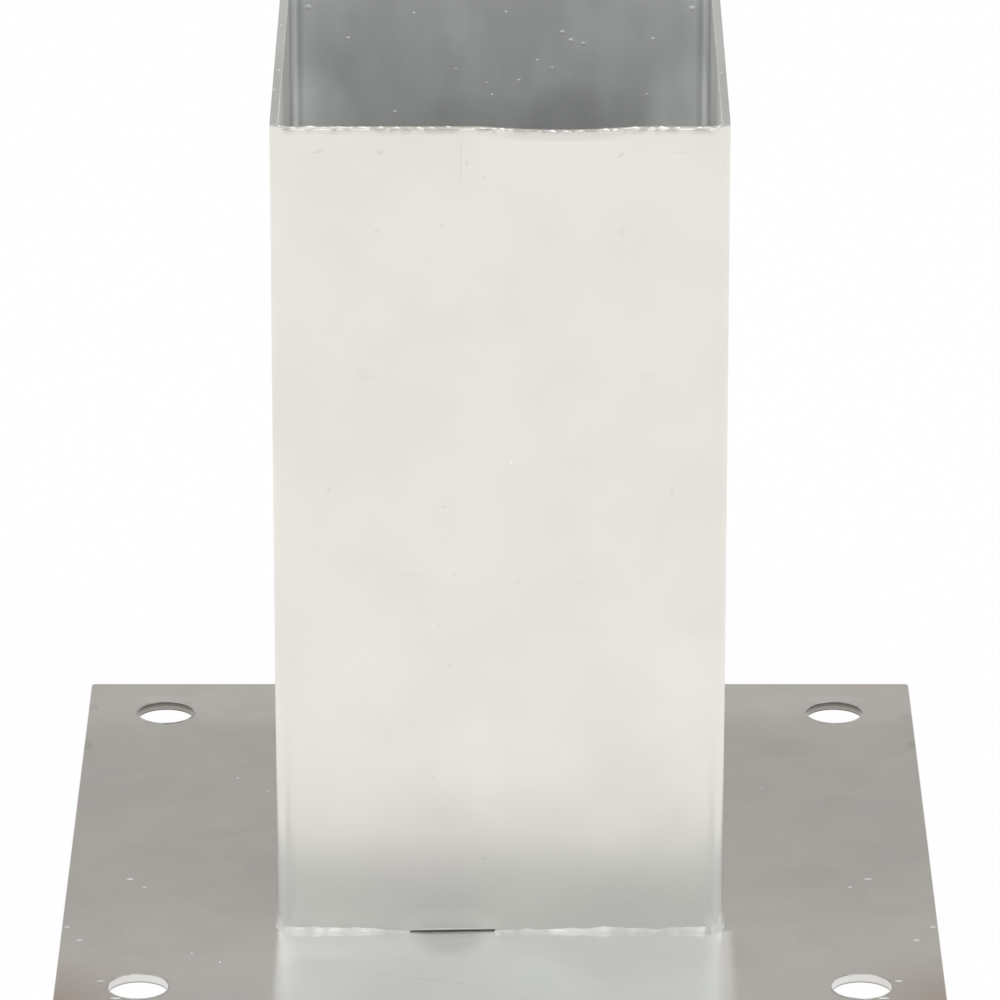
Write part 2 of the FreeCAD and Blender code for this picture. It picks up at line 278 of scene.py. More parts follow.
def choose(piece: Piece, kind: str, test: Callable[[Any], bool]) -> None:
    """Select, in edit mode, the elements that pass a test.

    Args:
        piece: The piece in edit mode.
        kind: VERT, EDGE or FACE.
        test: Says whether an element is wanted.
    """
    bpy.ops.mesh.select_mode(type=kind)
    bpy.ops.mesh.select_all(action="DESELECT")
    mesh = bmesh.from_edit_mesh(piece.data)
    elements = {"VERT": mesh.verts, "EDGE": mesh.edges, "FACE": mesh.faces}[kind]
    for element in [element for element in elements if test(element)]:
        element.select_set(True)
    mesh.select_flush_mode()
    bmesh.update_edit_mesh(piece.data)


def apply_place() -> None:
    """Put the place, turn and scale of what is selected into its mesh."""
    bpy.ops.object.transform_apply(location=True, rotation=True, scale=True)


def apply_modifier(piece: Piece, kind: str, **settings: Any) -> None:
    """Give a piece a modifier and apply it.

    Args:
        piece: The piece to change.
        kind: The modifier's type.
        settings: The modifier's properties.
    """
    modifier = piece.modifiers.new(kind.lower(), kind)
    for name, value in settings.items():
        setattr(modifier, name, value)
    pick(piece)
    bpy.ops.object.modifier_apply(modifier=modifier.name)


def roughen(piece: Piece, grain: float, depth: float) -> None:
    """Push a piece's skin in and out by soft lumps.

    Args:
        piece: The piece to roughen.
        grain: Size of the lumps, in the mesh's own units.
        depth: How far the skin moves from the lowest to the highest point, in the same units.
    """
    lumps = bpy.data.textures.new("lumps", "CLOUDS")
    lumps.noise_scale = grain
    lumps.noise_depth = 2
    apply_modifier(piece, "DISPLACE", texture=lumps, texture_coords="LOCAL", strength=depth, mid_level=0.5)
    bpy.data.textures.remove(lumps)


def copy_piece(piece: Piece) -> Piece:
    """Copy a piece with a mesh of its own.

    Args:
        piece: The piece to copy.

    Returns:
        The copy, linked to the scene.
    """
    copy = piece.copy()
    copy.data = piece.data.copy()
    bpy.context.scene.collection.objects.link(copy)
    return copy


def finish_piece(piece: Piece, name: str, material: Material, slot: Slot) -> None:
    """Put a piece's place into its mesh, smooth it, dress it and let it ride.

    Args:
        piece: The finished mesh.
        name: The piece's name.
        material: Its finish.
        slot: The record's slot for that finish; it is not used.
    """
    pick(piece)
    apply_place()
    bpy.ops.object.shade_smooth_by_angle(angle=math.radians(SMOOTH_ANGLE))
    piece.name = name
    piece.data.name = name
    piece.data.materials.clear()
    piece.data.materials.append(material)
    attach(piece, BODY)
    LOG.info("%s: %d faces", name, len(piece.data.polygons))


@dataclass
class Skin:
    """What a finish works out for the shader: nodes, or plain numbers where nothing changes.

    Attributes:
        tree: The material's node tree.
        spot: The point being shaded, in metres.
        colour: Colour of the metal.
        rough: Roughness.
        level: Brightness that the colour is scaled by.
        metal: Share of bare metal; the rest is a matt film of zinc oxide.
    """

    tree: Tree
    spot: bpy.types.NodeSocket
    colour: Any
    rough: Any
    level: Any
    metal: Any

    @cached_property
    def place(self) -> Any:
        """The point's X, Y and Z."""
        return add_node(self.tree, "SeparateXYZ", {}, (self.spot,)).outputs

    @cached_property
    def mirrored(self) -> Node:
        """The point without its signs, so that all four quarters are one."""
        return add_node(self.tree, "VectorMath", {"operation": "ABSOLUTE"}, (self.spot,))

    @cached_property
    def away(self) -> Any:
        """The mirrored point's X, Y and Z."""
        return add_node(self.tree, "SeparateXYZ", {}, (self.mirrored,)).outputs

    @cached_property
    def farther(self) -> Node:
        """Distance from the middle plane that is farther off."""
        return add_node(self.tree, "Math", GREATER, (self.away["X"], self.away["Y"]))

    @cached_property
    def nearer(self) -> Node:
        """Distance from the middle plane that is nearer."""
        return add_node(self.tree, "Math", {"operation": "MINIMUM"}, (self.away["X"], self.away["Y"]))

    @cached_property
    def sideways(self) -> Node:
        """Above 0 at the left and right, below 0 at the front and back."""
        return add_node(self.tree, "Math", MINUS, (self.away["X"], self.away["Y"]))


@dataclass(frozen=True)
class Mark:
    """A soft oval mark on a surface: a stain, a scuff, a scratch, a painted highlight or a painted shadow.

    Attributes:
        place: Its middle, in millimetres.
        size: Its half lengths along X, Y and Z, in millimetres.
        strength: How much it darkens or lightens, from 0 to 1.
        blend: Whether it darkens or lightens.
        turn: Its turn about X, Y and Z, in degrees.
        core: Share of its size that has the full strength.
    """

    place: Triple
    size: Triple
    strength: float
    blend: Blend = Blend.DARKER
    turn: Triple = (0.0, 0.0, 0.0)
    core: float = 0.45

    def shade(self, skin: Skin) -> None:
        """Work the mark into a skin's brightness.

        Args:
            skin: The skin to change.
        """
        local = add_node(skin.tree, "Mapping", {"vector_type": "TEXTURE"}, (
            skin.spot, metres(*self.place), [math.radians(angle) for angle in self.turn], metres(*self.size),
        ))
        reach = add_node(skin.tree, "VectorMath", LENGTH, (local,))
        change = self.blend.value * self.strength
        skin.level = work_in(skin.tree, PLUS, skin.level, SOFT, (reach, self.core, 1.0, change, 0.0))


@dataclass(frozen=True)
class ZincFinish:
    """Mild steel with a zinc skin from a hot bath: grey-white metal, cloudy and finely grained.

    The zinc freezes in faint flat crystals a few millimetres across, and handling leaves fine
    scratches. The skin is bare metal, so it takes its brightness from what it mirrors.

    Attributes:
        name: The material's name.
        light: Colour of the bright clouds.
        dark: Colour of the dull clouds.
        roughness: Roughness of the bright and of the dull clouds.
        cloud: Width of the clouds, in millimetres.
        crystal: Width of the zinc crystals, in millimetres.
        crystal_depth: How much the crystals differ in brightness.
        grain: Width of the fine grain, in millimetres.
        grain_depth: Height of the fine grain, in millimetres.
        scratches: How much the fine scratches darken.
        scratch_size: Length and width of the fine scratches, in millimetres.
        scratch_turns: The ways that they run, in degrees.
        metal: Share of bare metal in the surface.
        marks: Marks in set places.
    """

    name: str
    light: str
    dark: str
    roughness: Pair
    cloud: float = 26.0
    crystal: float = 7.0
    crystal_depth: float = 0.02
    grain: float = 0.55
    grain_depth: float = 0.004
    scratches: float = 0.05
    scratch_size: Pair = (14.0, 0.5)
    scratch_turns: Pair = (18.0, 104.0)
    metal: float = 1.0
    marks: tuple[Mark, ...] = ()

    def build(self) -> Material:
        """Make the material.

        Returns:
            The material, ready for a piece.
        """
        material = bpy.data.materials.new(self.name)
        tree = clear_tree(material)
        spot = add_node(tree, "TexCoord").outputs["Object"]
        wide = add_node(tree, "TexNoise", {}, {
            "Vector": spot, "Scale": 1 / (self.cloud * MM), "Detail": 4.0, "Roughness": 0.5,
        })
        clouds = add_node(tree, "MapRange", SOFT, (wide, *NOISE_SPAN))
        skin = Skin(
            tree, spot,
            colour=mix(tree, COLOURS, clouds, linear(self.dark), linear(self.light)),
            rough=add_node(tree, "MapRange", STRAIGHT, (clouds, 0.0, 1.0, *reversed(self.roughness))),
            level=self.crystals(tree, spot),
            metal=self.metal,
        )
        self.scratch(skin)
        for mark in self.marks:
            mark.shade(skin)
        self.change_parts(skin)
        scaled = add_node(tree, "VectorMath", {"operation": "SCALE"}, {0: skin.colour, "Scale": skin.level})
        fine = add_node(tree, "TexNoise", {}, {
            "Vector": spot, "Scale": 1 / (self.grain * MM), "Detail": 3.0, "Roughness": 0.6,
        })
        bump = add_node(tree, "Bump", {}, {
            "Height": fine, "Strength": 1.0, "Distance": self.grain_depth * MM,
        })
        shader = add_node(tree, "BsdfPrincipled", {}, {
            "Base Color": scaled, "Metallic": skin.metal, "Roughness": skin.rough, "Normal": bump,
        })
        add_node(tree, "OutputMaterial", {}, (shader,))
        return material

    def crystals(self, tree: Tree, spot: bpy.types.NodeSocket) -> Node:
        """Make the faint zinc crystals.

        Args:
            tree: The material's node tree.
            spot: The point being shaded, in metres.

        Returns:
            A brightness level about 1.
        """
        cells = add_node(tree, "TexVoronoi", {"feature": "SMOOTH_F1"}, {
            "Vector": spot, "Scale": 1 / (self.crystal * MM), "Smoothness": 0.25, "Randomness": 1.0,
        })
        tint = add_node(tree, "SeparateColor", {}, (cells.outputs["Color"],))
        ends = (1 - self.crystal_depth, 1 + self.crystal_depth)
        return add_node(tree, "MapRange", STRAIGHT, (tint, 0.0, 1.0, *ends))

    def scratch(self, skin: Skin) -> None:
        """Take fine scratches, which run two ways across the sheet, off the brightness.

        Args:
            skin: The skin to change.
        """
        long, thin = (1 / (size * MM) for size in self.scratch_size)
        for turn in self.scratch_turns:
            turns = [math.radians(angle) for angle in (turn, turn / 3, turn)]
            stretched = add_node(skin.tree, "Mapping", {}, (skin.spot, MIDDLE, turns, (long, thin, thin)))
            lines = add_node(skin.tree, "TexNoise", {}, {"Vector": stretched, "Scale": 1.0, "Detail": 1.0})
            fade = (lines, 0.72, 0.80, 0.0, self.scratches)
            skin.level = work_in(skin.tree, MINUS, skin.level, STRAIGHT, fade)

    def change_parts(self, skin: Skin) -> None:
        """Change the skin in parts of the piece; here nothing changes."""


@dataclass(frozen=True)
class PlateFinish(ZincFinish):
    """Zinc on the base plate: a painted reflection of the socket in front of it, stained in the front corners.

    Places along X or Y are in millimetres. Where two are given, a change begins at the first
    and is full at the second.

    Attributes:
        brown: Colour of the stained zinc in the front corners.
        stain: Places of the stain, from the middle to the sides and from there to the front.
        bore: Colour of the painted shade on the walls of the rear holes.
        bore_shade: Heights and levels of the shade in those walls.
        edge_shade: Heights and levels of the shade at every lower edge.
        reflection_gain: How much lighter the painted reflection of the socket makes the zinc in front of it.
        strip_metal: Share of bare metal there; the rest is a white film.
        strip: Places along Y where that painted reflection starts and where it fades out.
        strip_sides: Places along X of its sides.
        film: Places along X, and levels, of the thicker film in front of the slit.
        film_front: Places along Y of the film's front end.
        film_sides: Places along X of the film's sides.
        ends: Places along Y and gain of the lighter zinc at the rear and front edges.
        holes: Middle of a rear hole from the plate's middle, in metres.
        bore_radius: Radius of the holes, in metres.
    """

    brown: str = "#BEB4AD"
    stain: tuple[Pair, Pair] = ((52.0, 82.0), (-40.0, -74.0))
    bore: str = "#8E8A84"
    bore_shade: tuple[Pair, Pair] = ((0.2, 1.5), (1.35, 0.45))
    edge_shade: tuple[Pair, Pair] = ((0.05, 0.40), (0.45, 1.0))
    reflection_gain: float = 0.24
    strip_metal: float = 0.72
    strip: tuple[Pair, Pair] = ((-38.0, -40.0), (-44.0, -72.0))
    strip_sides: tuple[Pair, Pair] = ((-40.1, -38.8), (42.0, 39.9))
    film: tuple[Pair, Pair] = ((-14.0, -3.4), (0.30, 0.80))
    film_front: Pair = (-41.6, -40.7)
    film_sides: tuple[Pair, Pair] = ((-17.0, -15.9), (0.3, -0.6))
    ends: tuple[tuple[Pair, float], ...] = (((50.0, 70.0), 0.15), ((-8.0, -60.0), 0.15))
    holes: Pair = (0.0, 0.0)
    bore_radius: float = 0.0

    def change_parts(self, skin: Skin) -> None:
        """Stain the corners, paint the socket's reflection, lighten the rear and front, and paint shade in the
        rear holes and at every lower edge.

        Args:
            skin: The skin to change.
        """
        self.stain_corners(skin)
        self.paint_socket_reflection(skin)
        for places, gain in self.ends:
            fade = (skin.place["Y"], *metres(*places), 0.0, gain)
            skin.level = work_in(skin.tree, PLUS, skin.level, SOFT, fade)
        self.paint_bore_shade(skin)

    def stain_corners(self, skin: Skin) -> None:
        """Brown the zinc towards the front corners.

        Args:
            skin: The skin to change.
        """
        across, along = (metres(*places) for places in self.stain)
        side = add_node(skin.tree, "MapRange", SOFT, (skin.away["X"], *across))
        share = work_in(skin.tree, TIMES, side, SOFT, (skin.place["Y"], *along))
        skin.colour = mix(skin.tree, COLOURS, share, skin.colour, linear(self.brown))

    def paint_socket_reflection(self, skin: Skin) -> None:
        """Paint the socket's reflection as lighter zinc in front of it, most of all near it, and cloud it at
        the slit.

        Args:
            skin: The skin to change.
        """
        tree, across, along = skin.tree, skin.place["X"], skin.place["Y"]
        start, fade_out = (metres(*places) for places in self.strip)
        strip = add_node(tree, "MapRange", SOFT, (along, *start))
        for places in self.strip_sides:
            strip = work_in(tree, TIMES, strip, SOFT, (across, *metres(*places)))
        # Painted reflection of the socket's front face: lighter zinc in the strip.
        lighter = work_in(tree, TIMES, strip, SOFT, (along, *fade_out, self.reflection_gain, self.reflection_gain / 8))
        skin.level = add_node(tree, "Math", PLUS, (skin.level, lighter))
        places, levels = self.film
        film = add_node(tree, "MapRange", SOFT, (across, *metres(*places), *levels))
        for reach, places in ((along, self.film_front), *((across, side) for side in self.film_sides)):
            film = work_in(tree, TIMES, film, STRAIGHT, (reach, *metres(*places)))
        bare = add_node(tree, "MapRange", STRAIGHT, (film, 0.0, 1.0, self.strip_metal, 0.0))
        skin.metal = add_node(tree, "MapRange", STRAIGHT, (strip, 0.0, 1.0, skin.metal, bare))

    def paint_bore_shade(self, skin: Skin) -> None:
        """Paint shade on the walls of the rear holes, most of all near their top, and at every lower edge.

        Args:
            skin: The skin to change.
        """
        tree, height = skin.tree, skin.place["Z"]
        offset = add_node(tree, "VectorMath", MINUS, (skin.mirrored, (*self.holes, 0.0)))
        flat = add_node(tree, "VectorMath", TIMES, (offset, (1.0, 1.0, 0.0)))
        reach = add_node(tree, "VectorMath", LENGTH, (flat,))
        bore = add_node(tree, "Math", {"operation": "LESS_THAN"}, (reach, self.bore_radius + 0.04 * MM))
        rear = add_node(tree, "Math", {"operation": "GREATER_THAN"}, (skin.place["Y"], 0.0))
        # Painted shade: the rear holes' walls get a darker colour and level.
        dull = add_node(tree, "Math", TIMES, (bore, rear))
        skin.colour = mix(tree, COLOURS, dull, skin.colour, linear(self.bore))
        heights, levels = self.bore_shade
        shade = add_node(tree, "MapRange", SOFT, (height, *metres(*heights), *levels))
        level = mix(tree, NUMBERS, dull, skin.level, shade)
        # Painted shadow along every lower edge.
        heights, levels = self.edge_shade
        skin.level = work_in(tree, TIMES, level, SOFT, (height, *metres(*heights), *levels))


@dataclass(frozen=True)
class SleeveFinish(ZincFinish):
    """Zinc on the socket: bright and even outside, a duller film with smudges inside.

    Heights and places are in millimetres. Where two are given, a change begins at the first and
    is full at the second. Sideways is how much farther a point is from the middle along X than
    along Y. Some of the brightness is painted light and shade: along the inner bends, on the inner
    side walls and below the rim inside, and towards the foot and on its bends outside.

    Attributes:
        inside: Colour of the inner faces.
        beside: Colour of the inner faces at the left and right.
        cut: Colour of the cut rim.
        cut_beside: Colour of the cut rim at the left and right.
        inside_roughness: Roughness of the inner faces.
        inside_metal: Share of bare metal on the inner faces, which the bath left with a dull film.
        rim_metal: Share of bare metal on the cut rim.
        rim_heights: Heights over the rim between which the metal turns bare.
        foot_shade: Painted shade on the outer faces, darker towards the foot: lower and upper end, and
            strength.
        foot_bend_light: Places along Z of the painted light on the foot's outer bends, and its gain.
        smudge_size: Width and height of the smudges inside.
        smudges: Brightness in and between the smudges.
        under_rim: Shades inside below the rim: lower and upper depth under it, and what they leave.
        patch: Width of the patches that the shears left.
        dragged: Noise levels and strengths of the patches under the rim.
        dragged_heights: Heights over the rim between which they begin.
        torn: Noise levels and strengths of the patches on the rim's rounding.
        bends: Painted light and shade of the inner faces by the distance from the middle, near a bend.
        wall_side: Sideways places of the inner side walls.
        wall_gain: Places along Y of their change in brightness, which is painted light, and its two ends.
        cut_heights: Heights over the rim between which the cut's colour begins.
        cut_side: Sideways places of the cut rim at the left and right.
        cut_gain: Places along Y of its change in brightness, and its two ends.
        inner: Distance of the inner faces from the middle, in metres.
        rim: Height of the rim, in metres.
    """

    inside: str = "#C4C7C6"
    beside: str = "#D2D0CC"
    cut: str = "#ECE9E2"
    cut_beside: str = "#E7E9E7"
    inside_roughness: float = 0.45
    inside_metal: float = 0.2
    rim_metal: float = 0.8
    rim_heights: Pair = (-0.9, -0.1)
    foot_shade: tuple[Triple, ...] = ((4, 52, 0.12), (6, 22, 0.132))
    foot_bend_light: tuple[Pair, float] = ((4, 28), 0.22)
    smudge_size: Pair = (8.0, 17.0)
    smudges: Pair = (0.93, 1.05)
    under_rim: tuple[Triple, ...] = ((9.0, 2.0, 0.93), (0.45, 0.15, 0.72))
    patch: float = 2.0
    dragged: tuple[float, ...] = (0.42, 0.62, 0.06, 0.21)
    dragged_heights: Pair = (-1.4, -0.3)
    torn: tuple[float, ...] = (0.44, 0.58, 0.0, 0.25)
    bends: tuple[Pair, ...] = (
        (28.0, 1.0), (32.8, 1.05), (34.6, 1.18), (35.3, 1.22),
        (36.1, 0.98), (36.4, 1.05), (36.9, 1.50), (37.4, 1.25),
    )
    wall_side: Pair = (0.6, 3.5)
    wall_gain: tuple[Pair, Pair] = ((4, -26), (1.15, 1.58))
    cut_heights: Pair = (-0.30, -0.08)
    cut_side: Pair = (0.0, 3.0)
    cut_gain: tuple[Pair, Pair] = ((12, -14), (0.90, 0.81))
    inner: float = 0.038
    rim: float = 0.1516

    def change_parts(self, skin: Skin) -> None:
        """Dull and smudge the inner faces and paint light and shade on them, dull the rim, and outside darken
        patches at the rim and paint shade and light at the foot.

        Args:
            skin: The skin to change.
        """
        tree = skin.tree
        inside = add_node(tree, "MapRange", STRAIGHT, (skin.farther, *metres(0.3, 0.1, start=self.inner)))
        inner_level, inner_colour = self.side_walls(skin, self.smudge(skin, self.paint_bend_light(skin)))
        outer_level = self.paint_foot_bend_light(skin, self.darken_rim_and_foot(skin))
        skin.level = mix(tree, NUMBERS, inside, outer_level, inner_level)
        skin.colour = mix(tree, COLOURS, inside, skin.colour, inner_colour)
        skin.rough = mix(tree, NUMBERS, inside, skin.rough, self.inside_roughness)
        places = metres(*self.rim_heights, start=self.rim)
        rim = add_node(tree, "MapRange", SOFT, (skin.place["Z"], *places, skin.metal, self.rim_metal))
        skin.metal = mix(tree, NUMBERS, inside, rim, self.inside_metal)
        self.cut_rim(skin)

    def paint_bend_light(self, skin: Skin) -> Node:
        """Paint light and shade along the inner bends, on their front and back halves.

        Args:
            skin: The skin, which stays as it is.

        Returns:
            The brightness of the inner faces.
        """
        tree = skin.tree
        start, end = self.bends[0][0], self.bends[-1][0]
        place = add_node(tree, "MapRange", STRAIGHT, (skin.nearer, *metres(start, end)))
        ramp = add_node(tree, "ValToRGB", {}, (place,))
        stops = ramp.color_ramp.elements
        for number, (distance, value) in enumerate(self.bends):
            where = (distance - start) / (end - start)
            stop = stops[0] if number == 0 else stops[-1] if where == 1 else stops.new(where)
            stop.color = (value / 2, value / 2, value / 2, 1.0)
        half = add_node(tree, "SeparateColor", {}, (ramp,))
        lines = add_node(tree, "Math", TIMES, (half, 2.0))
        return work_in(tree, TIMES, skin.level, SOFT, (skin.sideways, *metres(0.0, 0.8), lines, 1.0))

    def smudge(self, skin: Skin, level: Node) -> Node:
        """Run soft smudges down the inner faces, and paint shade on them below the rim.

        Args:
            skin: The skin, which stays as it is.
            level: The brightness of the inner faces.

        Returns:
            The brightness with the smudges in it.
        """
        wide, tall = (1 / (size * MM) for size in self.smudge_size)
        streaks = add_node(skin.tree, "Mapping", {}, {"Vector": skin.spot, "Scale": (wide, wide, tall)})
        clouds = add_node(skin.tree, "TexNoise", {}, {"Vector": streaks, "Scale": 1.0, "Detail": 3.0})
        level = work_in(skin.tree, TIMES, level, SOFT, (clouds, *NOISE_SPAN, *self.smudges))
        # Painted shade below the rim.
        for low, high, left in self.under_rim:
            fade = (skin.place["Z"], *metres(-low, -high, start=self.rim), 1.0, left)
            level = work_in(skin.tree, TIMES, level, SOFT, fade)
        return level

    def side_walls(self, skin: Skin, level: Node) -> tuple[Node, Node]:
        """Make the inner faces warmer at the sides, and paint light on the side walls, most of all near the
        front.

        Args:
            skin: The skin, which stays as it is.
            level: The brightness of the inner faces.

        Returns:
            The brightness and the colour of the inner faces.
        """
        tree = skin.tree
        places, gains = self.wall_gain
        side = add_node(tree, "MapRange", SOFT, (skin.sideways, *metres(*self.wall_side)))
        front = add_node(tree, "MapRange", SOFT, (skin.place["Y"], *metres(*places), *gains))
        colour = mix(tree, COLOURS, side, linear(self.inside), linear(self.beside))
        # Painted light on the inner side walls, growing towards the front.
        return work_in(tree, TIMES, level, STRAIGHT, (side, 0.0, 1.0, 1.0, front)), colour

    def darken_rim_and_foot(self, skin: Skin) -> Node:
        """Darken patches under the rim and on its rounding, and paint shade towards the foot.

        Args:
            skin: The skin, which stays as it is.

        Returns:
            The brightness of the outer faces.
        """
        tree, height = skin.tree, skin.place["Z"]
        under = add_node(tree, "MapRange", SOFT, (height, *metres(*self.dragged_heights, start=self.rim)))
        patches = add_node(tree, "TexNoise", {}, {
            "Vector": skin.spot, "Scale": 1 / (self.patch * MM), "Detail": 4.0,
        })
        dragged = work_in(tree, TIMES, under, SOFT, (patches, *self.dragged))
        outside = (skin.farther, *metres(1.3, 1.55, start=self.inner))
        dragged = work_in(tree, TIMES, dragged, STRAIGHT, outside)
        level = add_node(tree, "Math", MINUS, (skin.level, dragged))
        torn = add_node(tree, "MapRange", SOFT, (patches, *self.torn))
        for fade in (
            (height, *metres(-0.34, -0.18, start=self.rim)),
            (skin.farther, *metres(1.0, 1.3, start=self.inner)),
            (skin.sideways, *metres(0.5, -0.5)),
        ):
            torn = work_in(tree, TIMES, torn, STRAIGHT, fade)
        level = add_node(tree, "Math", MINUS, (level, torn))
        # Painted shade, darker towards the foot.
        for low, high, strength in self.foot_shade:
            level = work_in(tree, MINUS, level, SOFT, (height, *metres(low, high), strength, 0.0))
        return level

    def paint_foot_bend_light(self, skin: Skin, level: Node) -> Node:
        """Paint light on the outer bends at the foot, over the painted shade there.

        Args:
            skin: The skin, which stays as it is.
            level: The brightness of the outer faces.

        Returns:
            The brightness with the bends in it.
        """
        places, gain = self.foot_bend_light
        bend = add_node(skin.tree, "MapRange", STRAIGHT, (skin.place["Z"], *metres(*places), gain, 0.0))
        for axis in ("X", "Y"):
            fade = (skin.away[axis], *metres(-2.0, 0.55, start=self.inner))
            bend = work_in(skin.tree, TIMES, bend, STRAIGHT, fade)
        return add_node(skin.tree, "Math", PLUS, (level, bend))

    def cut_rim(self, skin: Skin) -> None:
        """Colour the cut rim, and dull it at the left and right, most of all near the front.

        Args:
            skin: The skin to change.
        """
        tree = skin.tree
        places, gains = self.cut_gain
        heights = metres(*self.cut_heights, start=self.rim)
        top = add_node(tree, "MapRange", SOFT, (skin.place["Z"], *heights))
        side = add_node(tree, "MapRange", SOFT, (skin.sideways, *metres(*self.cut_side)))
        share = add_node(tree, "Math", TIMES, (side, top))
        front = add_node(tree, "MapRange", SOFT, (skin.place["Y"], *metres(*places), *gains))
        skin.level = work_in(tree, TIMES, skin.level, STRAIGHT, (share, 0.0, 1.0, 1.0, front))
        cut = mix(tree, COLOURS, side, linear(self.cut), linear(self.cut_beside))
        skin.colour = mix(tree, COLOURS, top, skin.colour, cut)


@dataclass(frozen=True)
class FloorFinish:
    """White paper sweep: matt, and lit so that the camera and the metal see it as plain white.

    Attributes:
        name: The material's name.
        colour: Colour of the paper.
        glow: Share of the light that the camera and mirrors see without the object's shadow.
    """

    name: str = "white_paper"
    colour: str = "#F4F4F2"
    glow: float = 0.96

    def build(self) -> Material:
        """Make the material.

        Returns:
            The material of the floor, clear when it is seen from below.
        """
        material = bpy.data.materials.new(self.name)
        tree = clear_tree(material)
        share = add_node(tree, "Math", TIMES, (seen_directly(tree), self.glow))
        paper = add_node(tree, "BsdfDiffuse", {}, (linear(self.colour),))
        glow = add_node(tree, "Emission", {}, (WHITE, 1.0))
        top = add_node(tree, "MixShader", {}, (share, paper, glow))
        below = add_node(tree, "NewGeometry").outputs["Backfacing"]
        both = add_node(tree, "MixShader", {}, (below, top, add_node(tree, "BsdfTransparent")))
        add_node(tree, "OutputMaterial", {}, (both,))
        return material


@dataclass
class Studio:
    """Pale floor, soft light from all round and the camera of the photograph.

    Attributes:
        aim_height: Height of the point that the camera looks at, in metres.
        distance: From that point to the camera, in metres.
        pitch: How far the camera looks down, in degrees.
        lens: Focal length on a 36 mm sensor, in millimetres.
        clip: Nearest and farthest distance that the camera sees, in metres.
        floor_size: Side of the floor, in metres.
        lamp_place: Place of the soft lamp, in metres.
        lamp_size: Side of the soft lamp, in metres.
        lamp_power: Power of the soft lamp, in watts.
        sky: Brightness overhead.
        band_front: Colour of the room low down behind the camera, in linear numbers.
        band_rear: Colour of the room low down behind the object, in linear numbers.
        fill: Brightness of the light that the room throws.
    """

    aim_height: float = 68.664 * MM
    distance: float = 1475.07 * MM
    pitch: float = 20.758
    lens: float = 296.2
    clip: Pair = (0.01, 50.0)
    floor_size: float = 12.0
    lamp_place: Triple = (0.15, -0.35, 1.3)
    lamp_size: float = 0.6
    lamp_power: float = 2.0
    sky: float = 0.95
    band_front: Colour = (0.85, 0.90, 0.93, 1.0)
    band_rear: Colour = (0.515, 0.49, 0.465, 1.0)
    fill: float = 0.9

    def build(self) -> None:
        """Set up floor, world, lamp, camera and view."""
        self.lay_floor()
        self.light_world()
        self.hang_lamp()
        self.place_camera()
        bpy.context.scene.view_settings.view_transform = "Standard"

    def lay_floor(self) -> None:
        """Lay the floor under the object."""
        deselect_all()
        bpy.ops.mesh.primitive_plane_add(size=self.floor_size, location=(0, 0, -0.02 * MM))
        floor = bpy.context.object
        apply_place()
        floor.name = "floor"
        floor.data.materials.append(FloorFinish().build())

    def light_world(self) -> None:
        """Surround the object with a soft room: white below and overhead, greyer round the sides."""
        world = bpy.data.worlds.new("soft_room")
        bpy.context.scene.world = world
        tree = clear_tree(world)
        way = add_node(tree, "TexCoord").outputs["Generated"]
        parts = add_node(tree, "SeparateXYZ", {}, (way,)).outputs
        front = add_node(tree, "MapRange", SOFT, (parts["Y"], 0.90, 0.55))
        room = mix(tree, COLOURS, front, self.band_rear, self.band_front)
        for fade, colour in (
            ((-0.03, 0.06, 1.0, 0.0), WHITE),
            ((0.55, 0.85, 0.0, 1.0), (self.sky, self.sky, self.sky, 1.0)),
        ):
            share = add_node(tree, "MapRange", SOFT, (parts["Z"], *fade))
            room = mix(tree, COLOURS, share, room, colour)
        seen = add_node(tree, "Background", {}, (room, 1.0))
        lit = add_node(tree, "Background", {}, (WHITE, self.fill))
        mixed = add_node(tree, "MixShader", {}, (seen_directly(tree), lit, seen))
        add_node(tree, "OutputWorld", {}, (mixed,))

    def hang_lamp(self) -> None:
        """Hang one broad soft lamp overhead, a little to the front."""
        deselect_all()
        bpy.ops.object.light_add(type="AREA", location=self.lamp_place)
        lamp = bpy.context.object
        lamp.name = "overhead_softbox"
        lamp.data.shape = "SQUARE"
        lamp.data.size = self.lamp_size
        lamp.data.energy = self.lamp_power
        lamp.rotation_euler = (-lamp.location).to_track_quat("-Z", "Y").to_euler()

    def place_camera(self) -> None:
        """Put the camera where the photograph was taken from."""
        down = math.radians(self.pitch)
        back = Vector((0, -math.cos(down), math.sin(down)))
        deselect_all()
        bpy.ops.object.camera_add(location=Vector((0, 0, self.aim_height)) + back * self.distance)
        camera = bpy.context.object
        camera.rotation_euler = (-back).to_track_quat("-Z", "Y").to_euler()
        camera.data.sensor_width = 36.0
        camera.data.lens = self.lens
        camera.data.clip_start, camera.data.clip_end = self.clip
        bpy.context.scene.camera = camera


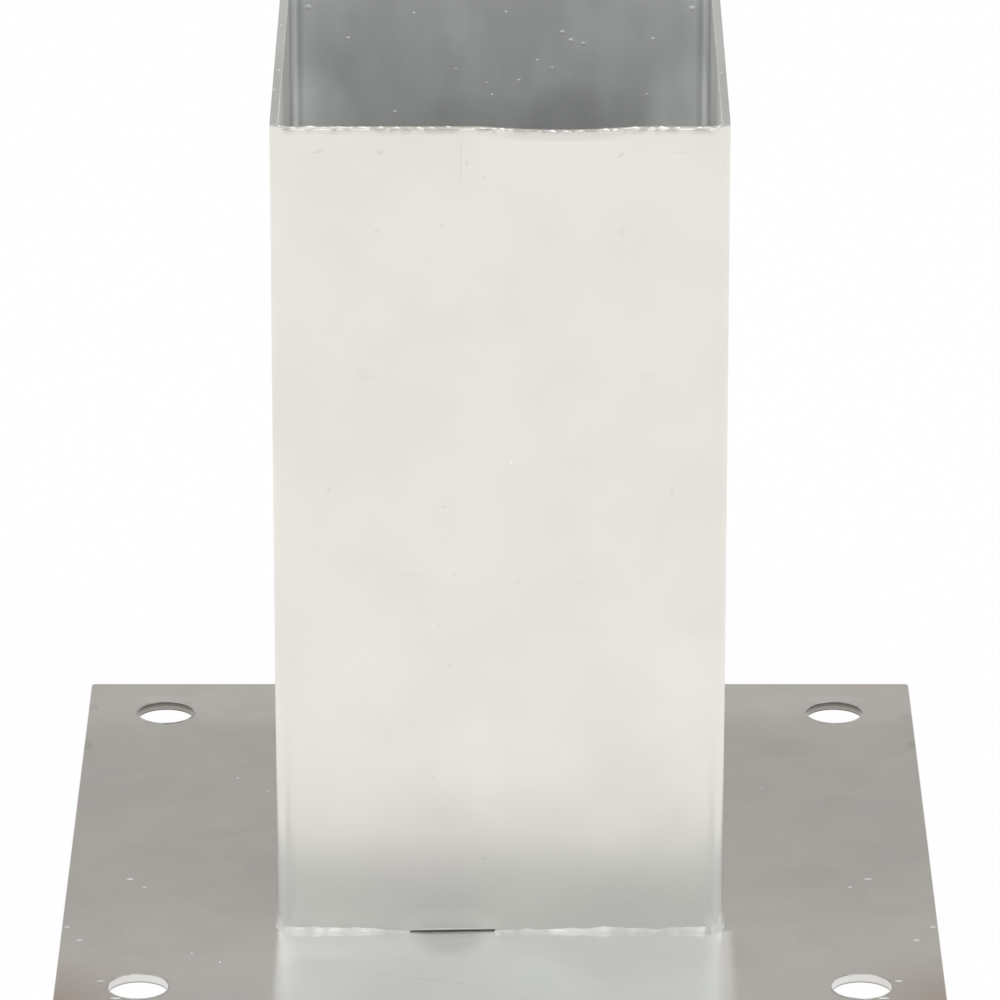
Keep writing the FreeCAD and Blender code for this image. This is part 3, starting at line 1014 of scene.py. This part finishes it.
@dataclass
class Ridge:
    """A ridge of metal swept along a level rounded square, such as a weld bead or a burr.

    Lengths are in metres.

    Attributes:
        half: Half width of the square that the ridge follows.
        corner: Radius of that square's corners.
        height: Height of the line.
        step: Distance between the ridge's sections, at which its line is cut.
    """

    half: float
    corner: float
    height: float
    step: float

    def line(self) -> Piece:
        """Draw the level rounded square in short steps.

        Returns:
            A mesh of edges alone.
        """
        deselect_all()
        bpy.ops.mesh.primitive_plane_add(size=2 * self.half, location=(0, 0, self.height))
        line = bpy.context.object
        apply_place()
        with editing(line):
            bpy.ops.mesh.select_all(action="SELECT")
            bends = max(4, int(self.corner * math.pi / 2 / self.step))
            bpy.ops.mesh.bevel(offset=self.corner, segments=bends, affect="VERTICES", offset_type="OFFSET")
            bpy.ops.mesh.delete(type="ONLY_FACE")
            choose(line, "EDGE", lambda edge: edge.calc_length() > 4 * self.corner)
            bpy.ops.mesh.subdivide(number_cuts=int(2 * (self.half - self.corner) / self.step))
        return line

    def sweep(
        self, line: Piece, section: Piece, swell: Callable[[Vector], float], shift: Callable[[Vector], Vector]
    ) -> Piece:
        """Sweep a closed section along a line.

        Args:
            line: A mesh of edges.
            section: A closed flat outline about its own origin, for a size of 1.
            swell: Size of the section at a point of the line, in metres.
            shift: How far a point of the line moves first.

        Returns:
            The swept mesh.
        """
        for piece in (section, line):
            pick(piece)
            bpy.ops.object.convert(target="CURVE")
        curve = line.data
        for point in curve.splines[0].points:
            place = point.co.to_3d()
            point.radius = swell(place)
            point.co = (*(place + shift(place)), 1.0)
        curve.dimensions = "3D"
        curve.twist_mode = "Z_UP"
        curve.bevel_mode = "OBJECT"
        curve.bevel_object = section
        curve.use_fill_caps = True
        bpy.ops.object.convert(target="MESH")
        bpy.data.objects.remove(section)
        with editing(line):
            bpy.ops.mesh.select_all(action="SELECT")
            bpy.ops.mesh.remove_doubles(threshold=1e-7)
            bpy.ops.mesh.normals_make_consistent(inside=False)
        return line


def squeeze(piece: Piece, wanted: Callable[[Any], bool], scale: Triple) -> None:
    """Scale, in edit mode, some of a piece's points about the origin.

    Args:
        piece: The piece in edit mode.
        wanted: Says whether a point is scaled.
        scale: Its scale along X, Y and Z.
    """
    choose(piece, "VERT", wanted)
    bpy.ops.transform.resize(value=scale, center_override=MIDDLE)


def draw_section(points: int, flat_left: float, flat_low: float) -> Piece:
    """Draw a round outline of size 1 and flatten two of its sides.

    Args:
        points: Number of points round the outline.
        flat_left: What is left of the side at negative X, from 0 to 1.
        flat_low: What is left of the side at negative Y, from 0 to 1.

    Returns:
        A closed outline of edges.
    """
    deselect_all()
    bpy.ops.mesh.primitive_circle_add(vertices=points, radius=1.0, fill_type="NOTHING", location=MIDDLE)
    outline = bpy.context.object
    with editing(outline):
        squeeze(outline, lambda vertex: vertex.co.x < 0, (flat_left, 1, 1))
        squeeze(outline, lambda vertex: vertex.co.y < 0, (1, flat_low, 1))
    return outline


@dataclass
class FootWeld:
    """The thin wavy bead between socket and plate, left open at the front slit.

    Lengths are in metres.

    Attributes:
        leg: Size of the bead on the plate and up the wall.
        ripple: Distance between two ripples.
        ripple_rise: How much a ripple adds to the bead's size.
        reach: Mean distance from the middle, by which the ripples are counted.
        mean: The bead's size without waves and ripples; all sizes here are shares of the leg.
        waves: How much each wave adds, its length and its seed.
        side: What is left of the bead's size at the sides and behind.
        front: Where the bead starts to grow towards the front along -Y, and over what length.
        at_slit: What is left of the bead's size at the slit's left and right end.
        tail_size: Size of the tail at its end, and how much it gains up to the slit's right end.
        slit: Left and right end of the open slit along X.
        slit_rise: How much the slit rises from one end to the other, over its length.
        tail: Where the thin tail that runs under the slit from the right ends.
        taper: Length of the bead's thinner end beside the slit.
        corner: Radius of the socket's outer corners.
        step: Distance between the bead's sections.
        lip: Left and right end of the bright lip over the slit.
        lip_radius: Its radius.
        lip_height: Height of its middle over the plate.
    """

    leg: float = 0.80 * MM
    ripple: float = 1.7 * MM
    ripple_rise: float = 0.05
    reach: float = 50 * MM
    mean: float = 0.95
    waves: tuple[Triple, ...] = ((0.30, 7 * MM, 3.1), (0.24, 2.2 * MM, 5.7))
    side: float = 0.35
    front: Pair = (36.5 * MM, 2.5 * MM)
    at_slit: Pair = (0.25, 0.42)
    tail_size: Pair = (0.08, 0.20)
    slit: Pair = (-15.95 * MM, -0.85 * MM)
    slit_rise: Pair = (0.28, 15.1)
    tail: float = -1.3 * MM
    taper: float = 5 * MM
    corner: float = 3.6 * MM
    step: float = 0.45 * MM
    lip: Pair = (-13.9 * MM, -4.2 * MM)
    lip_radius: float = 0.11 * MM
    lip_height: float = 0.60 * MM

    def swell(self, place: Vector) -> float:
        """Size the bead: wavy, rippled, fuller in front and thin at the slit.

        Args:
            place: A point of the bead's line.

        Returns:
            The bead's size there, in metres.
        """
        along = math.atan2(place.y, place.x) * self.reach / self.ripple
        size = add_waves(place, self.mean, self.waves) + self.ripple_rise * abs(math.sin(along * math.pi))
        start, length = self.front
        size *= self.side + (1 - self.side) * clamp((-place.y - start) / length, 0.0, 1.0)
        left, right = self.at_slit
        if place.y < 0 and place.x > self.slit[1]:
            size *= min(1.0, right + (1 - right) * (place.x - self.slit[1]) / self.taper)
        elif place.y < 0 and place.x > self.slit[0]:
            size = self.tail_size[0] + self.tail_size[1] * (place.x - self.tail) / (self.slit[1] - self.tail)
        elif place.y < 0 and place.x > self.slit[0] - self.taper:
            size *= left + (1 - left) * (self.slit[0] - place.x) / self.taper
        return self.leg * size

    def build(self, material: Material) -> None:
        """Make the bead, its thin tail under the slit and the lip over the slit.

        Args:
            material: The bead's finish.
        """
        low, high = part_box("post_sleeve")
        ridge = Ridge(half=high.x, corner=self.corner, height=low.z, step=self.step)
        line = ridge.line()
        with editing(line):
            front = -high.x + SLACK
            left, right = self.slit[0], self.tail
            choose(line, "VERT", lambda vertex: vertex.co.y < front and left < vertex.co.x < right)
            bpy.ops.mesh.delete(type="VERT")
        section = draw_section(points=8, flat_left=0.06, flat_low=0.04)
        with editing(section):
            squeeze(section, lambda vertex: min(vertex.co.xy) > 0.5, scale=(0.84, 0.84, 1))
        bead = ridge.sweep(line, section, self.swell, lambda place: Vector(MIDDLE))
        roughen(bead, grain=1.3 * MM, depth=0.16 * MM)
        pick(bead, self.slit_lip(low.z, -high.y))
        bpy.ops.object.join()
        finish_piece(bead, "weld_bead", material, Slot.WELD)
        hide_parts("foot_weld")

    def slit_lip(self, foot: float, wall: float) -> Piece:
        """Make the thin turned-out lip over the slit, rising to the right with the slit.

        Args:
            foot: Height of the socket's foot, in metres.
            wall: Place of the front wall's outer face along Y, in metres.

        Returns:
            The lip.
        """
        left, right = self.lip
        deselect_all()
        bpy.ops.mesh.primitive_cylinder_add(
            vertices=12, radius=self.lip_radius, depth=right - left,
            location=((left + right) / 2, wall, foot + self.lip_height),
            rotation=(0, math.pi / 2 - math.atan2(*self.slit_rise), 0),
        )
        lip = bpy.context.object
        apply_place()
        with editing(lip):
            for end in self.lip:
                choose(lip, "FACE", lambda cap: (
                    len(cap.verts) > 4 and abs(cap.calc_center_median().x - end) < 1 * MM
                ))
                bpy.ops.mesh.inset(thickness=0.04 * MM, depth=0.8 * MM)
                bpy.ops.transform.resize(value=(1, 0.3, 0.3))
        return lip


@dataclass
class SeamWeld:
    """The closing weld on the back: a low stack of overlapping ripples over a flush root.

    Lengths are in metres.

    Attributes:
        width: Width of the crown.
        pitch: Distance between two ripples.
        ripple: Half length of a ripple.
        tip: Scale of a ripple's upper half, which is drawn out towards the next one.
        ends: Distance of the first and the last ripple from the seam's ends.
        sunk: How deep a ripple reaches into the wall.
        voxel: Fineness of the skin that joins the ripples.
        gap: Width of the root.
        fillet: Width and depth of the root's rounded end.
    """

    width: float = 3.4 * MM
    pitch: float = 1.15 * MM
    ripple: float = 0.95 * MM
    tip: Triple = (0.9, 1.0, 1.5)
    ends: Pair = (1.2 * MM, 1.4 * MM)
    sunk: float = 0.06 * MM
    voxel: float = 0.17 * MM
    gap: float = 1.0 * MM
    fillet: Pair = (0.15 * MM, 0.12 * MM)

    def build(self, material: Material, inside: Material) -> None:
        """Make the crown and the root, whose flush inner face looks like the sheet beside it.

        Args:
            material: The weld's finish.
            inside: Finish of the sheet.
        """
        low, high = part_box("seam_weld")
        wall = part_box("post_sleeve")[1].y
        crown = self.crown(low, high, wall)
        pick(crown, self.root(low, high, wall))
        bpy.ops.object.join()
        finish_piece(crown, "seam_bead", material, Slot.WELD)
        crown.data.materials.append(inside)
        for face in crown.data.polygons:
            if face.normal.y < -FACING and face.center.y < low.y + SLACK:
                face.material_index = 1
        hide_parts("seam_weld")

    def crown(self, low: Vector, high: Vector, wall: float) -> Piece:
        """Stack the ripples up the back and join their skins.

        Args:
            low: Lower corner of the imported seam's box.
            high: Upper corner of that box.
            wall: Place of the back wall's outer face along Y, in metres.

        Returns:
            The crown.
        """
        start = low.z + self.ends[0]
        deselect_all()
        bpy.ops.mesh.primitive_uv_sphere_add(
            segments=24, ring_count=12, radius=1.0, location=(0, wall, start)
        )
        ripple = bpy.context.object
        bpy.ops.transform.resize(value=(self.width / 2, high.y - wall, self.ripple))
        apply_place()
        with editing(ripple):
            choose(ripple, "VERT", lambda vertex: vertex.co.z > start)
            bpy.ops.transform.resize(value=self.tip, center_override=(0, wall, start))
            bpy.ops.mesh.select_all(action="SELECT")
            bpy.ops.mesh.bisect(
                plane_co=(0, wall - self.sunk, 0), plane_no=(0, 1, 0), use_fill=True, clear_inner=True
            )
        apply_modifier(
            ripple, "ARRAY", count=int((high.z - start - self.ends[1]) / self.pitch) + 1,
            use_relative_offset=False, use_constant_offset=True, constant_offset_displace=(0, 0, self.pitch),
        )
        apply_modifier(ripple, "REMESH", mode="VOXEL", voxel_size=self.voxel)
        apply_modifier(ripple, "SMOOTH", factor=0.5, iterations=2)
        roughen(ripple, grain=2.5 * MM, depth=0.12 * MM)
        return ripple

    def root(self, low: Vector, high: Vector, wall: float) -> Piece:
        """Fill the gap between the sheet's edges, with a rounded upper end.

        Args:
            low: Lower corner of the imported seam's box.
            high: Upper corner of that box.
            wall: Place of the back wall's outer face along Y, in metres.

        Returns:
            The root.
        """
        wide, deep = self.fillet
        deselect_all()
        bpy.ops.mesh.primitive_cube_add(size=1.0, location=(0, (low.y + wall) / 2, (low.z + high.z) / 2))
        root = bpy.context.object
        bpy.ops.transform.resize(value=(self.gap, wall - low.y, high.z - low.z))
        apply_place()
        with editing(root):
            choose(root, "FACE", lambda face: face.normal.z > FACING)
            bpy.ops.mesh.inset(thickness=wide, depth=deep)
            bpy.ops.transform.translate(value=(0, 0, -deep))
        return root


@dataclass
class RimBurr:
    """The ragged bright edge that shearing and dipping left on the socket's rim.

    Lengths are in metres.

    Attributes:
        sheet: Thickness of the socket's sheet.
        bend: Radius of the socket's inner bends.
        inset: From the inner face of the wall to the line of the burr.
        size: Half width of the burr where the lumps give 1.
        mean: The lumps' mean.
        lumps: How much each wave adds to the lumps, its length and its seed.
        limits: Smallest and greatest value of the lumps.
        beside: What is left of the burr on the side walls.
        wander: How far each wave moves the line across the rim, its length and its seed.
        lean: How far the line moves outwards at the corners, and what is added in front and
            behind and taken off at the sides.
        turning: Distance from a corner at which all of that is added.
        sink: Depth of the line under the rim in front and behind, and what is added at the sides.
        sink_start: Where the adding starts, between the front, which is 1, and the sides, at -1.
        step: Distance between the burr's sections.
        flat_front: Half width of the front rim between its bends.
        dip_middle: Middle of the dip in the front rim along X.
        dip_half: Half width of the dip.
        dip_depth: Depth of the dip.
    """

    sheet: float = 1.6 * MM
    bend: float = 2.0 * MM
    inset: float = 0.80 * MM
    size: float = 0.36 * MM
    mean: float = 0.36
    lumps: tuple[Triple, ...] = ((0.75, 2.2 * MM, 4.4), (1.15, 0.85 * MM, 6.2))
    limits: Pair = (0.03, 1.3)
    beside: float = 0.35
    wander: tuple[Triple, ...] = ((0.22 * MM, 5 * MM, 8.3), (0.10 * MM, 1.4 * MM, 1.9))
    lean: Pair = (-0.05 * MM, 0.32 * MM)
    turning: float = 3 * MM
    sink: Pair = (0.03 * MM, 0.16 * MM)
    sink_start: float = 0.4
    step: float = 0.35 * MM
    flat_front: float = 36 * MM
    dip_middle: float = 10.2 * MM
    dip_half: float = 13.5 * MM
    dip_depth: float = 0.65 * MM

    def shift(self, place: Vector) -> Vector:
        """Let the line wander across the rim and follow the dip in the front.

        Args:
            place: A point of the burr's line.

        Returns:
            How far the point moves.
        """
        outwards = Vector((place.x, place.y, 0)).normalized()
        ahead = clamp((abs(place.y) - abs(place.x)) / self.turning, -1.0, 1.0)
        side = add_waves(place, self.lean[0] + self.lean[1] * ahead, self.wander)
        sunk = self.sink[0] + self.sink[1] * clamp(self.sink_start - ahead, 0.0, 1.0)
        drop = 0.0
        across = (place.x - self.dip_middle) / self.dip_half
        if place.y < 0 and abs(place.x) < self.flat_front and abs(across) < 1:
            drop = self.dip_depth * (1 - across * across)
        return outwards * side - Vector((0, 0, drop + sunk))

    def swell(self, place: Vector) -> float:
        """Size the burr, which breaks off and starts again.

        Args:
            place: A point of the burr's line.

        Returns:
            The burr's half width there, in metres.
        """
        beside = self.beside if abs(place.x) > abs(place.y) else 1.0
        return self.size * beside * clamp(add_waves(place, self.mean, self.lumps), *self.limits)

    def build(self, material: Material) -> None:
        """Make the burr all round the rim.

        Args:
            material: The burr's finish.
        """
        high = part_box("post_sleeve")[1]
        half = high.x - self.sheet + self.inset
        ridge = Ridge(half=half, corner=self.bend + self.inset, height=high.z, step=self.step)
        section = draw_section(points=10, flat_left=1.0, flat_low=0.3)
        burr = ridge.sweep(ridge.line(), section, self.swell, self.shift)
        roughen(burr, grain=0.6 * MM, depth=0.16 * MM)
        finish_piece(burr, "rim_burr", material, Slot.SLEEVE)


@dataclass
class HoleBurrs:
    """Thin turned-up edges of zinc round the holes.

    Lengths are in metres.

    Attributes:
        radius: Radius of the ring.
        thickness: Half width of the ring.
        name: Start of the pieces' names.
        slot: The record's slot for the finish.
        turn: How far each ring is turned past the one before, so that they differ, in radians.
    """

    radius: float
    thickness: float
    name: str
    slot: Slot
    turn: float = 1.9

    def build(self, places: list[tuple[str, Vector, Euler]], material: Material) -> None:
        """Make one ring and copy it to each hole.

        Args:
            places: Name, middle and turn of each ring; unturned, a ring lies level.
            material: The rings' finish.
        """
        deselect_all()
        bpy.ops.mesh.primitive_torus_add(
            major_radius=self.radius, minor_radius=self.thickness, major_segments=88, minor_segments=8,
            location=MIDDLE,
        )
        ring = bpy.context.object
        with editing(ring):
            squeeze(ring, lambda vertex: vertex.co.z < 0, scale=(1, 1, 0.3))
        roughen(ring, grain=1.8 * MM, depth=0.14 * MM)
        for number, (label, middle, turn) in enumerate(places):
            copy = copy_piece(ring)
            spin = Euler((0, 0, self.turn * number)).to_matrix()
            copy.rotation_euler = (turn.to_matrix() @ spin).to_euler()
            copy.location = middle
            finish_piece(copy, f"{self.name}_{label}", material, self.slot)
        bpy.data.objects.remove(ring)


@dataclass
class ZincDrops:
    """Small flat drops of zinc that froze on a surface.

    Attributes:
        name: The piece's name.
        slot: The record's slot for the finish.
        drops: Middle and half lengths of each drop, in millimetres.
    """

    name: str
    slot: Slot
    drops: list[tuple[Triple, Triple]]

    def build(self, material: Material) -> None:
        """Model one lumpy drop of size 1, copy it to each place and join the copies.

        Args:
            material: The drops' finish.
        """
        deselect_all()
        bpy.ops.mesh.primitive_ico_sphere_add(subdivisions=2, radius=1.0, location=MIDDLE)
        first = bpy.context.object
        roughen(first, grain=0.9, depth=0.35)
        made = []
        for place, size in self.drops:
            copy = copy_piece(first)
            copy.scale = metres(*size)
            copy.location = metres(*place)
            made.append(copy)
        bpy.data.objects.remove(first)
        pick(*made)
        bpy.ops.object.join()
        finish_piece(made[0], self.name, material, self.slot)


PLATE_TOP = 1.6
FRONT_FACE = -39.6
INNER_FACE = 38.0


def plate_mark(
    blend: Blend, x: float, y: float, wide: float, deep: float, strength: float, turn: float = 0.0,
    tall: float = 1.0,
) -> Mark:
    """Put a mark on the plate, by its middle, half lengths, strength and turn about Z."""
    return Mark((x, y, PLATE_TOP), (wide, deep, tall), strength, blend, (0.0, 0.0, turn))


def face_mark(
    blend: Blend, x: float, z: float, wide: float, tall: float, strength: float, turn: float = 0.0,
    face: float = FRONT_FACE,
) -> Mark:
    """Put a mark on the front face or another, by its middle, half lengths, strength and turn about Y."""
    return Mark((x, face, z), (wide, 1.0, tall), strength, blend, (0.0, turn, 0.0))


PLATE_MARKS = (
    *(plate_mark(Blend.DARKER, *row) for row in (
        # The first mark below is the slit's painted reflection and shadow on the plate, and the third a painted
        # shadow just under the slit.
        (-9.0, -40.0, 8.4, 13.0, 0.31), (27.0, -50.0, 24.0, 16.0, 0.05), (-10.0, -40.1, 6.4, 1.0, 0.07),
        (-11.5, -60.6, 16.5, 0.22, 0.14, -16),
    )),
    *(plate_mark(Blend.LIGHTER, *row) for row in (
        (-54.0, 68.0, 6.5, 8.5, 0.06), (-50.0, 61.5, 9.5, 3.5, 0.05, 12), (-63.3, 70.0, 6.5, 2.6, 0.08),
        (63.3, 70.0, 6.5, 2.6, 0.08), (53.0, 68.0, 7.5, 8.0, 0.05),
    )),
    plate_mark(Blend.DARKER, 54.0, 46.0, 7.0, 6.0, 0.05),
    plate_mark(Blend.LIGHTER, -27.0, -46.5, 15.0, 7.5, 0.07),
    *(plate_mark(Blend.DARKER, *row, tall=2.0) for row in (
        (-77.3, 66.0, 1.6, 2.2, 0.10), (-77.5, 47.0, 1.5, 3.0, 0.13), (76.8, 61.0, 1.8, 2.6, 0.08),
        (77.4, 47.3, 1.5, 2.6, 0.13),
    )),
)

BEAD_MARKS = (
    Mark((-6.7, -40.0, 1.6), (8.0, 2.0, 0.5), 0.20),
    *(Mark((x, -40.0, 1.9), (wide, 2.0, 1.4), strength) for x, wide, strength in (
        (-18.5, 4.0, 0.12), (4.2, 6.0, 0.14), (27.0, 16.0, 0.10), (36.9, 0.8, 0.20),
    )),
)

FACE_MARKS = (
    face_mark(Blend.DARKER, 11.5, 127.0, 10.0, 10.0, 0.16, face=INNER_FACE),
    face_mark(Blend.DARKER, -4.0, 127.0, 16.0, 7.0, 0.07, face=INNER_FACE),
    # Painted highlight on the front face over the slit.
    face_mark(Blend.LIGHTER, -8.8, 1.2, 11.0, 6.5, 0.13),
    # Painted highlights at the foot of the front corners.
    Mark((-39.3, -37.6, 2.4), (0.9, 1.5, 1.9), 0.22, Blend.LIGHTER),
    Mark((39.3, -37.6, 2.7), (0.8, 1.4, 2.5), 0.22, Blend.LIGHTER),
    # Painted light on the inner back face near the left and right bends.
    face_mark(Blend.LIGHTER, 34.0, 126.0, 9.5, 19.0, 0.36, face=INNER_FACE),
    face_mark(Blend.LIGHTER, -33.5, 124.0, 9.5, 17.0, 0.33, face=INNER_FACE),
    *(face_mark(Blend.DARKER, *row) for row in (
        (10.2, 150.4, 14.0, 1.3, 0.10), (-6.7, 145.8, 0.16, 6.5, 0.07), (-5.7, 145.5, 0.45, 0.8, 0.08),
        (-20.7, 147.3, 0.9, 0.5, 0.09, 20), (-31.2, 147.5, 1.2, 0.35, 0.08, -15),
        (20.7, 146.9, 1.2, 0.4, 0.10, -35), (31.0, 147.3, 1.8, 0.3, 0.06, 10), (-2.6, 142.8, 0.5, 0.7, 0.06),
        (-10.0, 134.1, 0.6, 0.5, 0.06), (-21.3, 133.2, 0.8, 0.45, 0.06), (21.0, 133.0, 0.8, 0.45, 0.06),
        (-29.8, 85.5, 0.6, 0.8, 0.06), (-37.9, 86.1, 0.6, 1.0, 0.06), (29.9, 85.0, 0.6, 0.8, 0.06),
        (-9.9, 82.4, 0.5, 0.5, 0.07), (-8.0, 69.8, 0.9, 0.3, 0.06, 25), (14.0, 68.3, 0.9, 0.3, 0.06, -25),
        (3.1, 68.5, 0.5, 0.5, 0.06), (-10.5, 60.3, 0.5, 0.5, 0.06), (-8.8, 52.7, 0.5, 0.5, 0.06),
        (-11.8, 31.2, 0.6, 0.4, 0.06), (-2.7, 15.7, 0.6, 0.4, 0.06),
    )),
    face_mark(Blend.LIGHTER, 1.9, 90.7, 0.3, 0.3, 0.15),
    *(face_mark(Blend.DARKER, x, z, 2.2, 1.6, 0.03) for x, z in ((-23.2, 106.8), (25.5, 106.3))),
    *(face_mark(Blend.LIGHTER, *row, 0.025) for row in (
        (-9.0, 80.5, 14.0, 15.0), (20.5, 79.5, 7.5, 14.0), (-6.0, 35.0, 8.0, 11.0),
    )),
)

# How far the drops stand out, and how much wider and taller than their size those inside are.
PLATE_DROP_RISE = 0.10
RIM_DROP_RISE = 0.14
INSIDE_DROP_RISE = 0.12
INSIDE_DROP_SHAPE = (1.6, 1.2)
# Drops on the inside of the back wall: X, Z and size, in millimetres.
INSIDE_DROPS = (
    (-34.6, 149.2, 0.42), (34.6, 149.0, 0.40), (11.2, 144.5, 0.32), (12.8, 143.0, 0.28), (15.0, 142.3, 0.30),
    (3.4, 135.4, 0.20), (1.1, 148.3, 0.20), (-15.5, 148.1, 0.20), (27.6, 143.2, 0.24), (-27.4, 143.4, 0.24),
    (-8.0, 137.5, 0.18), (-2.4, 134.9, 0.18), (-1.5, 132.6, 0.18), (9.4, 137.7, 0.18), (6.7, 139.2, 0.18),
    (-19.0, 129.4, 0.24), (26.6, 132.6, 0.24),
)
# Drops on the plate and on the rim: X, Y and half lengths, in millimetres.
PLATE_DROPS = (
    (-66.7, -15.9, 0.75, 0.30), (66.4, -15.9, 0.75, 0.30), (-63.9, -19.6, 0.45, 0.22),
    (63.0, -19.6, 0.40, 0.22), (-77.0, -37.4, 0.55, 0.35), (77.0, -37.4, 0.55, 0.35),
    (-74.5, -43.2, 0.60, 0.40), (73.9, -43.2, 0.60, 0.40), (-54.4, -48.8, 0.28, 0.28),
    (-49.3, -52.7, 0.24, 0.24), (-48.7, 31.3, 0.32, 0.26), (-42.9, 25.0, 0.28, 0.24),
    (48.5, 26.5, 0.28, 0.24), (-69.9, -60.9, 0.80, 0.22), (-67.0, -68.2, 1.10, 0.30),
    (69.9, -60.9, 0.80, 0.22), (67.0, -68.2, 1.10, 0.30),
)
RIM_DROPS = (
    (-38.7, -6.3, 0.32, 0.55), (-39.2, -17.6, 0.22, 0.40), (38.7, -7.8, 0.32, 0.55),
    (-38.9, 20.0, 0.20, 0.50),
)


@dataclass
class PostBase:
    """The whole part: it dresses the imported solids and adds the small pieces.

    Attributes:
        hole_radius: Radius of the anchor holes, in metres.
        hole_pitch: Distance between the anchor holes, in metres.
    """

    hole_radius: float
    hole_pitch: float

    def dress_solids(self) -> Material:
        """Give plate and socket their zinc.

        Returns:
            The socket's zinc.
        """
        half = self.hole_pitch / 2
        # Hot-dip zinc that set dull and cloudy, yet smooth enough to mirror the socket softly.
        plate = PlateFinish(
            name="galvanised_plate_zinc", light="#DADBD8", dark="#D4D2D1", roughness=(0.17, 0.23),
            cloud=30.0, marks=PLATE_MARKS, holes=(half, half), bore_radius=self.hole_radius,
        )
        # Hot-dip zinc on smooth rolled sheet: bright and even, so the front face is nearly white.
        sleeve = SleeveFinish(
            name="galvanised_sleeve_zinc", light="#EDEAE3", dark="#EAE7E1", roughness=(0.28, 0.34),
            cloud=22.0, crystal_depth=0.006, scratches=0.03, marks=FACE_MARKS, rim=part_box("post_sleeve")[1].z,
        )
        sheet = sleeve.build()
        for node, material in (("base_plate", plate.build()), ("post_sleeve", sheet)):
            piece = frame["nodes"][node]
            piece.data.materials.clear()
            piece.data.materials.append(material)
            LOG.info("%s: dressed with %s", node, material.name)
        return sheet

    def add_pieces(self, sheet: Material) -> None:
        """Add beads, burrs and drops.

        Args:
            sheet: The socket's zinc.
        """
        # Zinc over the rough skin of a weld bead: grey and matt, with broken highlights.
        weld = ZincFinish(
            name="zinc_coated_weld_metal", light="#DEDEDA", dark="#D2D2CE", roughness=(0.42, 0.56),
            cloud=3.0, crystal=2.0, grain=0.3, grain_depth=0.012, scratches=0.0, metal=0.4, marks=BEAD_MARKS,
        ).build()
        # Zinc that drew into a thin ragged edge: clean and bright.
        burr = ZincFinish(
            name="bright_zinc_burr", light="#EFECE6", dark="#D6D3CD", roughness=(0.26, 0.45),
            cloud=1.6, crystal=1.0, grain=0.25, grain_depth=0.012, scratches=0.0,
        ).build()
        # Splashed zinc with an oxide skin: pale and matt.
        drop = ZincFinish(
            name="dull_zinc_drop", light="#E8EAE8", dark="#CED0CE", roughness=(0.30, 0.45),
            cloud=1.6, crystal=1.0, grain=0.25, grain_depth=0.01, scratches=0.0, metal=0.25,
        ).build()
        # Zinc on a punched edge: darker and matt.
        lip = ZincFinish(
            name="dull_zinc_lip", light="#C4C3BF", dark="#A3A19D", roughness=(0.40, 0.52),
            cloud=2.4, crystal=1.0, grain=0.25, grain_depth=0.01, scratches=0.0, metal=0.5,
        ).build()
        FootWeld().build(weld)
        SeamWeld().build(weld, sheet)
        RimBurr().build(burr)
        self.add_hole_burrs(burr, lip)
        self.add_drops(burr, drop)

    def add_hole_burrs(self, burr: Material, lip: Material) -> None:
        """Add the dull rings round the anchor holes and the bright ones round the screw holes.

        Args:
            burr: Finish of the bright rings.
            lip: Finish of the dull rings.
        """
        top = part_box("base_plate")[1].z
        half = self.hole_pitch / 2
        anchors = [
            (f"{row}_{side}", Vector((x * half, y * half, top)), Euler(MIDDLE))
            for row, y in (("front", -1), ("rear", 1)) for side, x in SIDES
        ]
        HoleBurrs(
            radius=self.hole_radius + 0.06 * MM, thickness=0.15 * MM,
            name="anchor_hole_burr", slot=Slot.PLATE,
        ).build(anchors, lip)
        record = {mount["name"]: mount for mount in frame["record"]["mounts"]}
        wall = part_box("post_sleeve")[1].x
        screws = []
        for side, x in SIDES:
            mount = record[f"{side}_screw_holes"]
            reach = mount["dims"]["spacing_y_mm"] * MM / 2
            for row, z in (("lower", -reach), ("upper", reach)):
                middle = Vector((x * wall, 0, mount["pos_m"][2] + z))
                screws.append((f"{side}_{row}", middle, Euler((0, x * math.pi / 2, 0))))
        radius = record["left_screw_holes"]["dims"]["hole_r_mm"] * MM
        HoleBurrs(
            radius=radius + 0.12 * MM, thickness=0.13 * MM, name="screw_hole_burr", slot=Slot.SLEEVE,
        ).build(screws, burr)

    def add_drops(self, burr: Material, drop: Material) -> None:
        """Add the drops on the plate, on the rim and on the inside of the back wall.

        Args:
            burr: Finish of the drops on the rim.
            drop: Finish of the others.
        """
        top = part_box("base_plate")[1].z / MM
        plate = [((x, y, top), (wide, deep, PLATE_DROP_RISE)) for x, y, wide, deep in PLATE_DROPS]
        ZincDrops("plate_zinc_drops", Slot.PLATE, plate).build(drop)
        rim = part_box("post_sleeve")[1].z / MM
        cut = [((x, y, rim), (wide, deep, RIM_DROP_RISE)) for x, y, wide, deep in RIM_DROPS]
        ZincDrops("rim_zinc_drops", Slot.SLEEVE, cut).build(burr)
        wide, tall = INSIDE_DROP_SHAPE
        wall = [
            ((x, INNER_FACE, z), (size * wide, INSIDE_DROP_RISE, size * tall)) for x, z, size in INSIDE_DROPS
        ]
        ZincDrops("inside_zinc_drops", Slot.SLEEVE, wall).build(drop)


def main() -> None:
    """Set up the studio, dress the solids and add the pieces."""
    logging.basicConfig(level=logging.INFO)
    anchors = next(mount for mount in frame["record"]["mounts"] if mount["name"] == "anchor_holes")
    Studio().build()
    base = PostBase(
        hole_radius=anchors["dims"]["hole_r_mm"] * MM,
        hole_pitch=anchors["dims"]["spacing_x_mm"] * MM,
    )
    base.add_pieces(base.dress_solids())


if __name__ == "__main__":
    main()
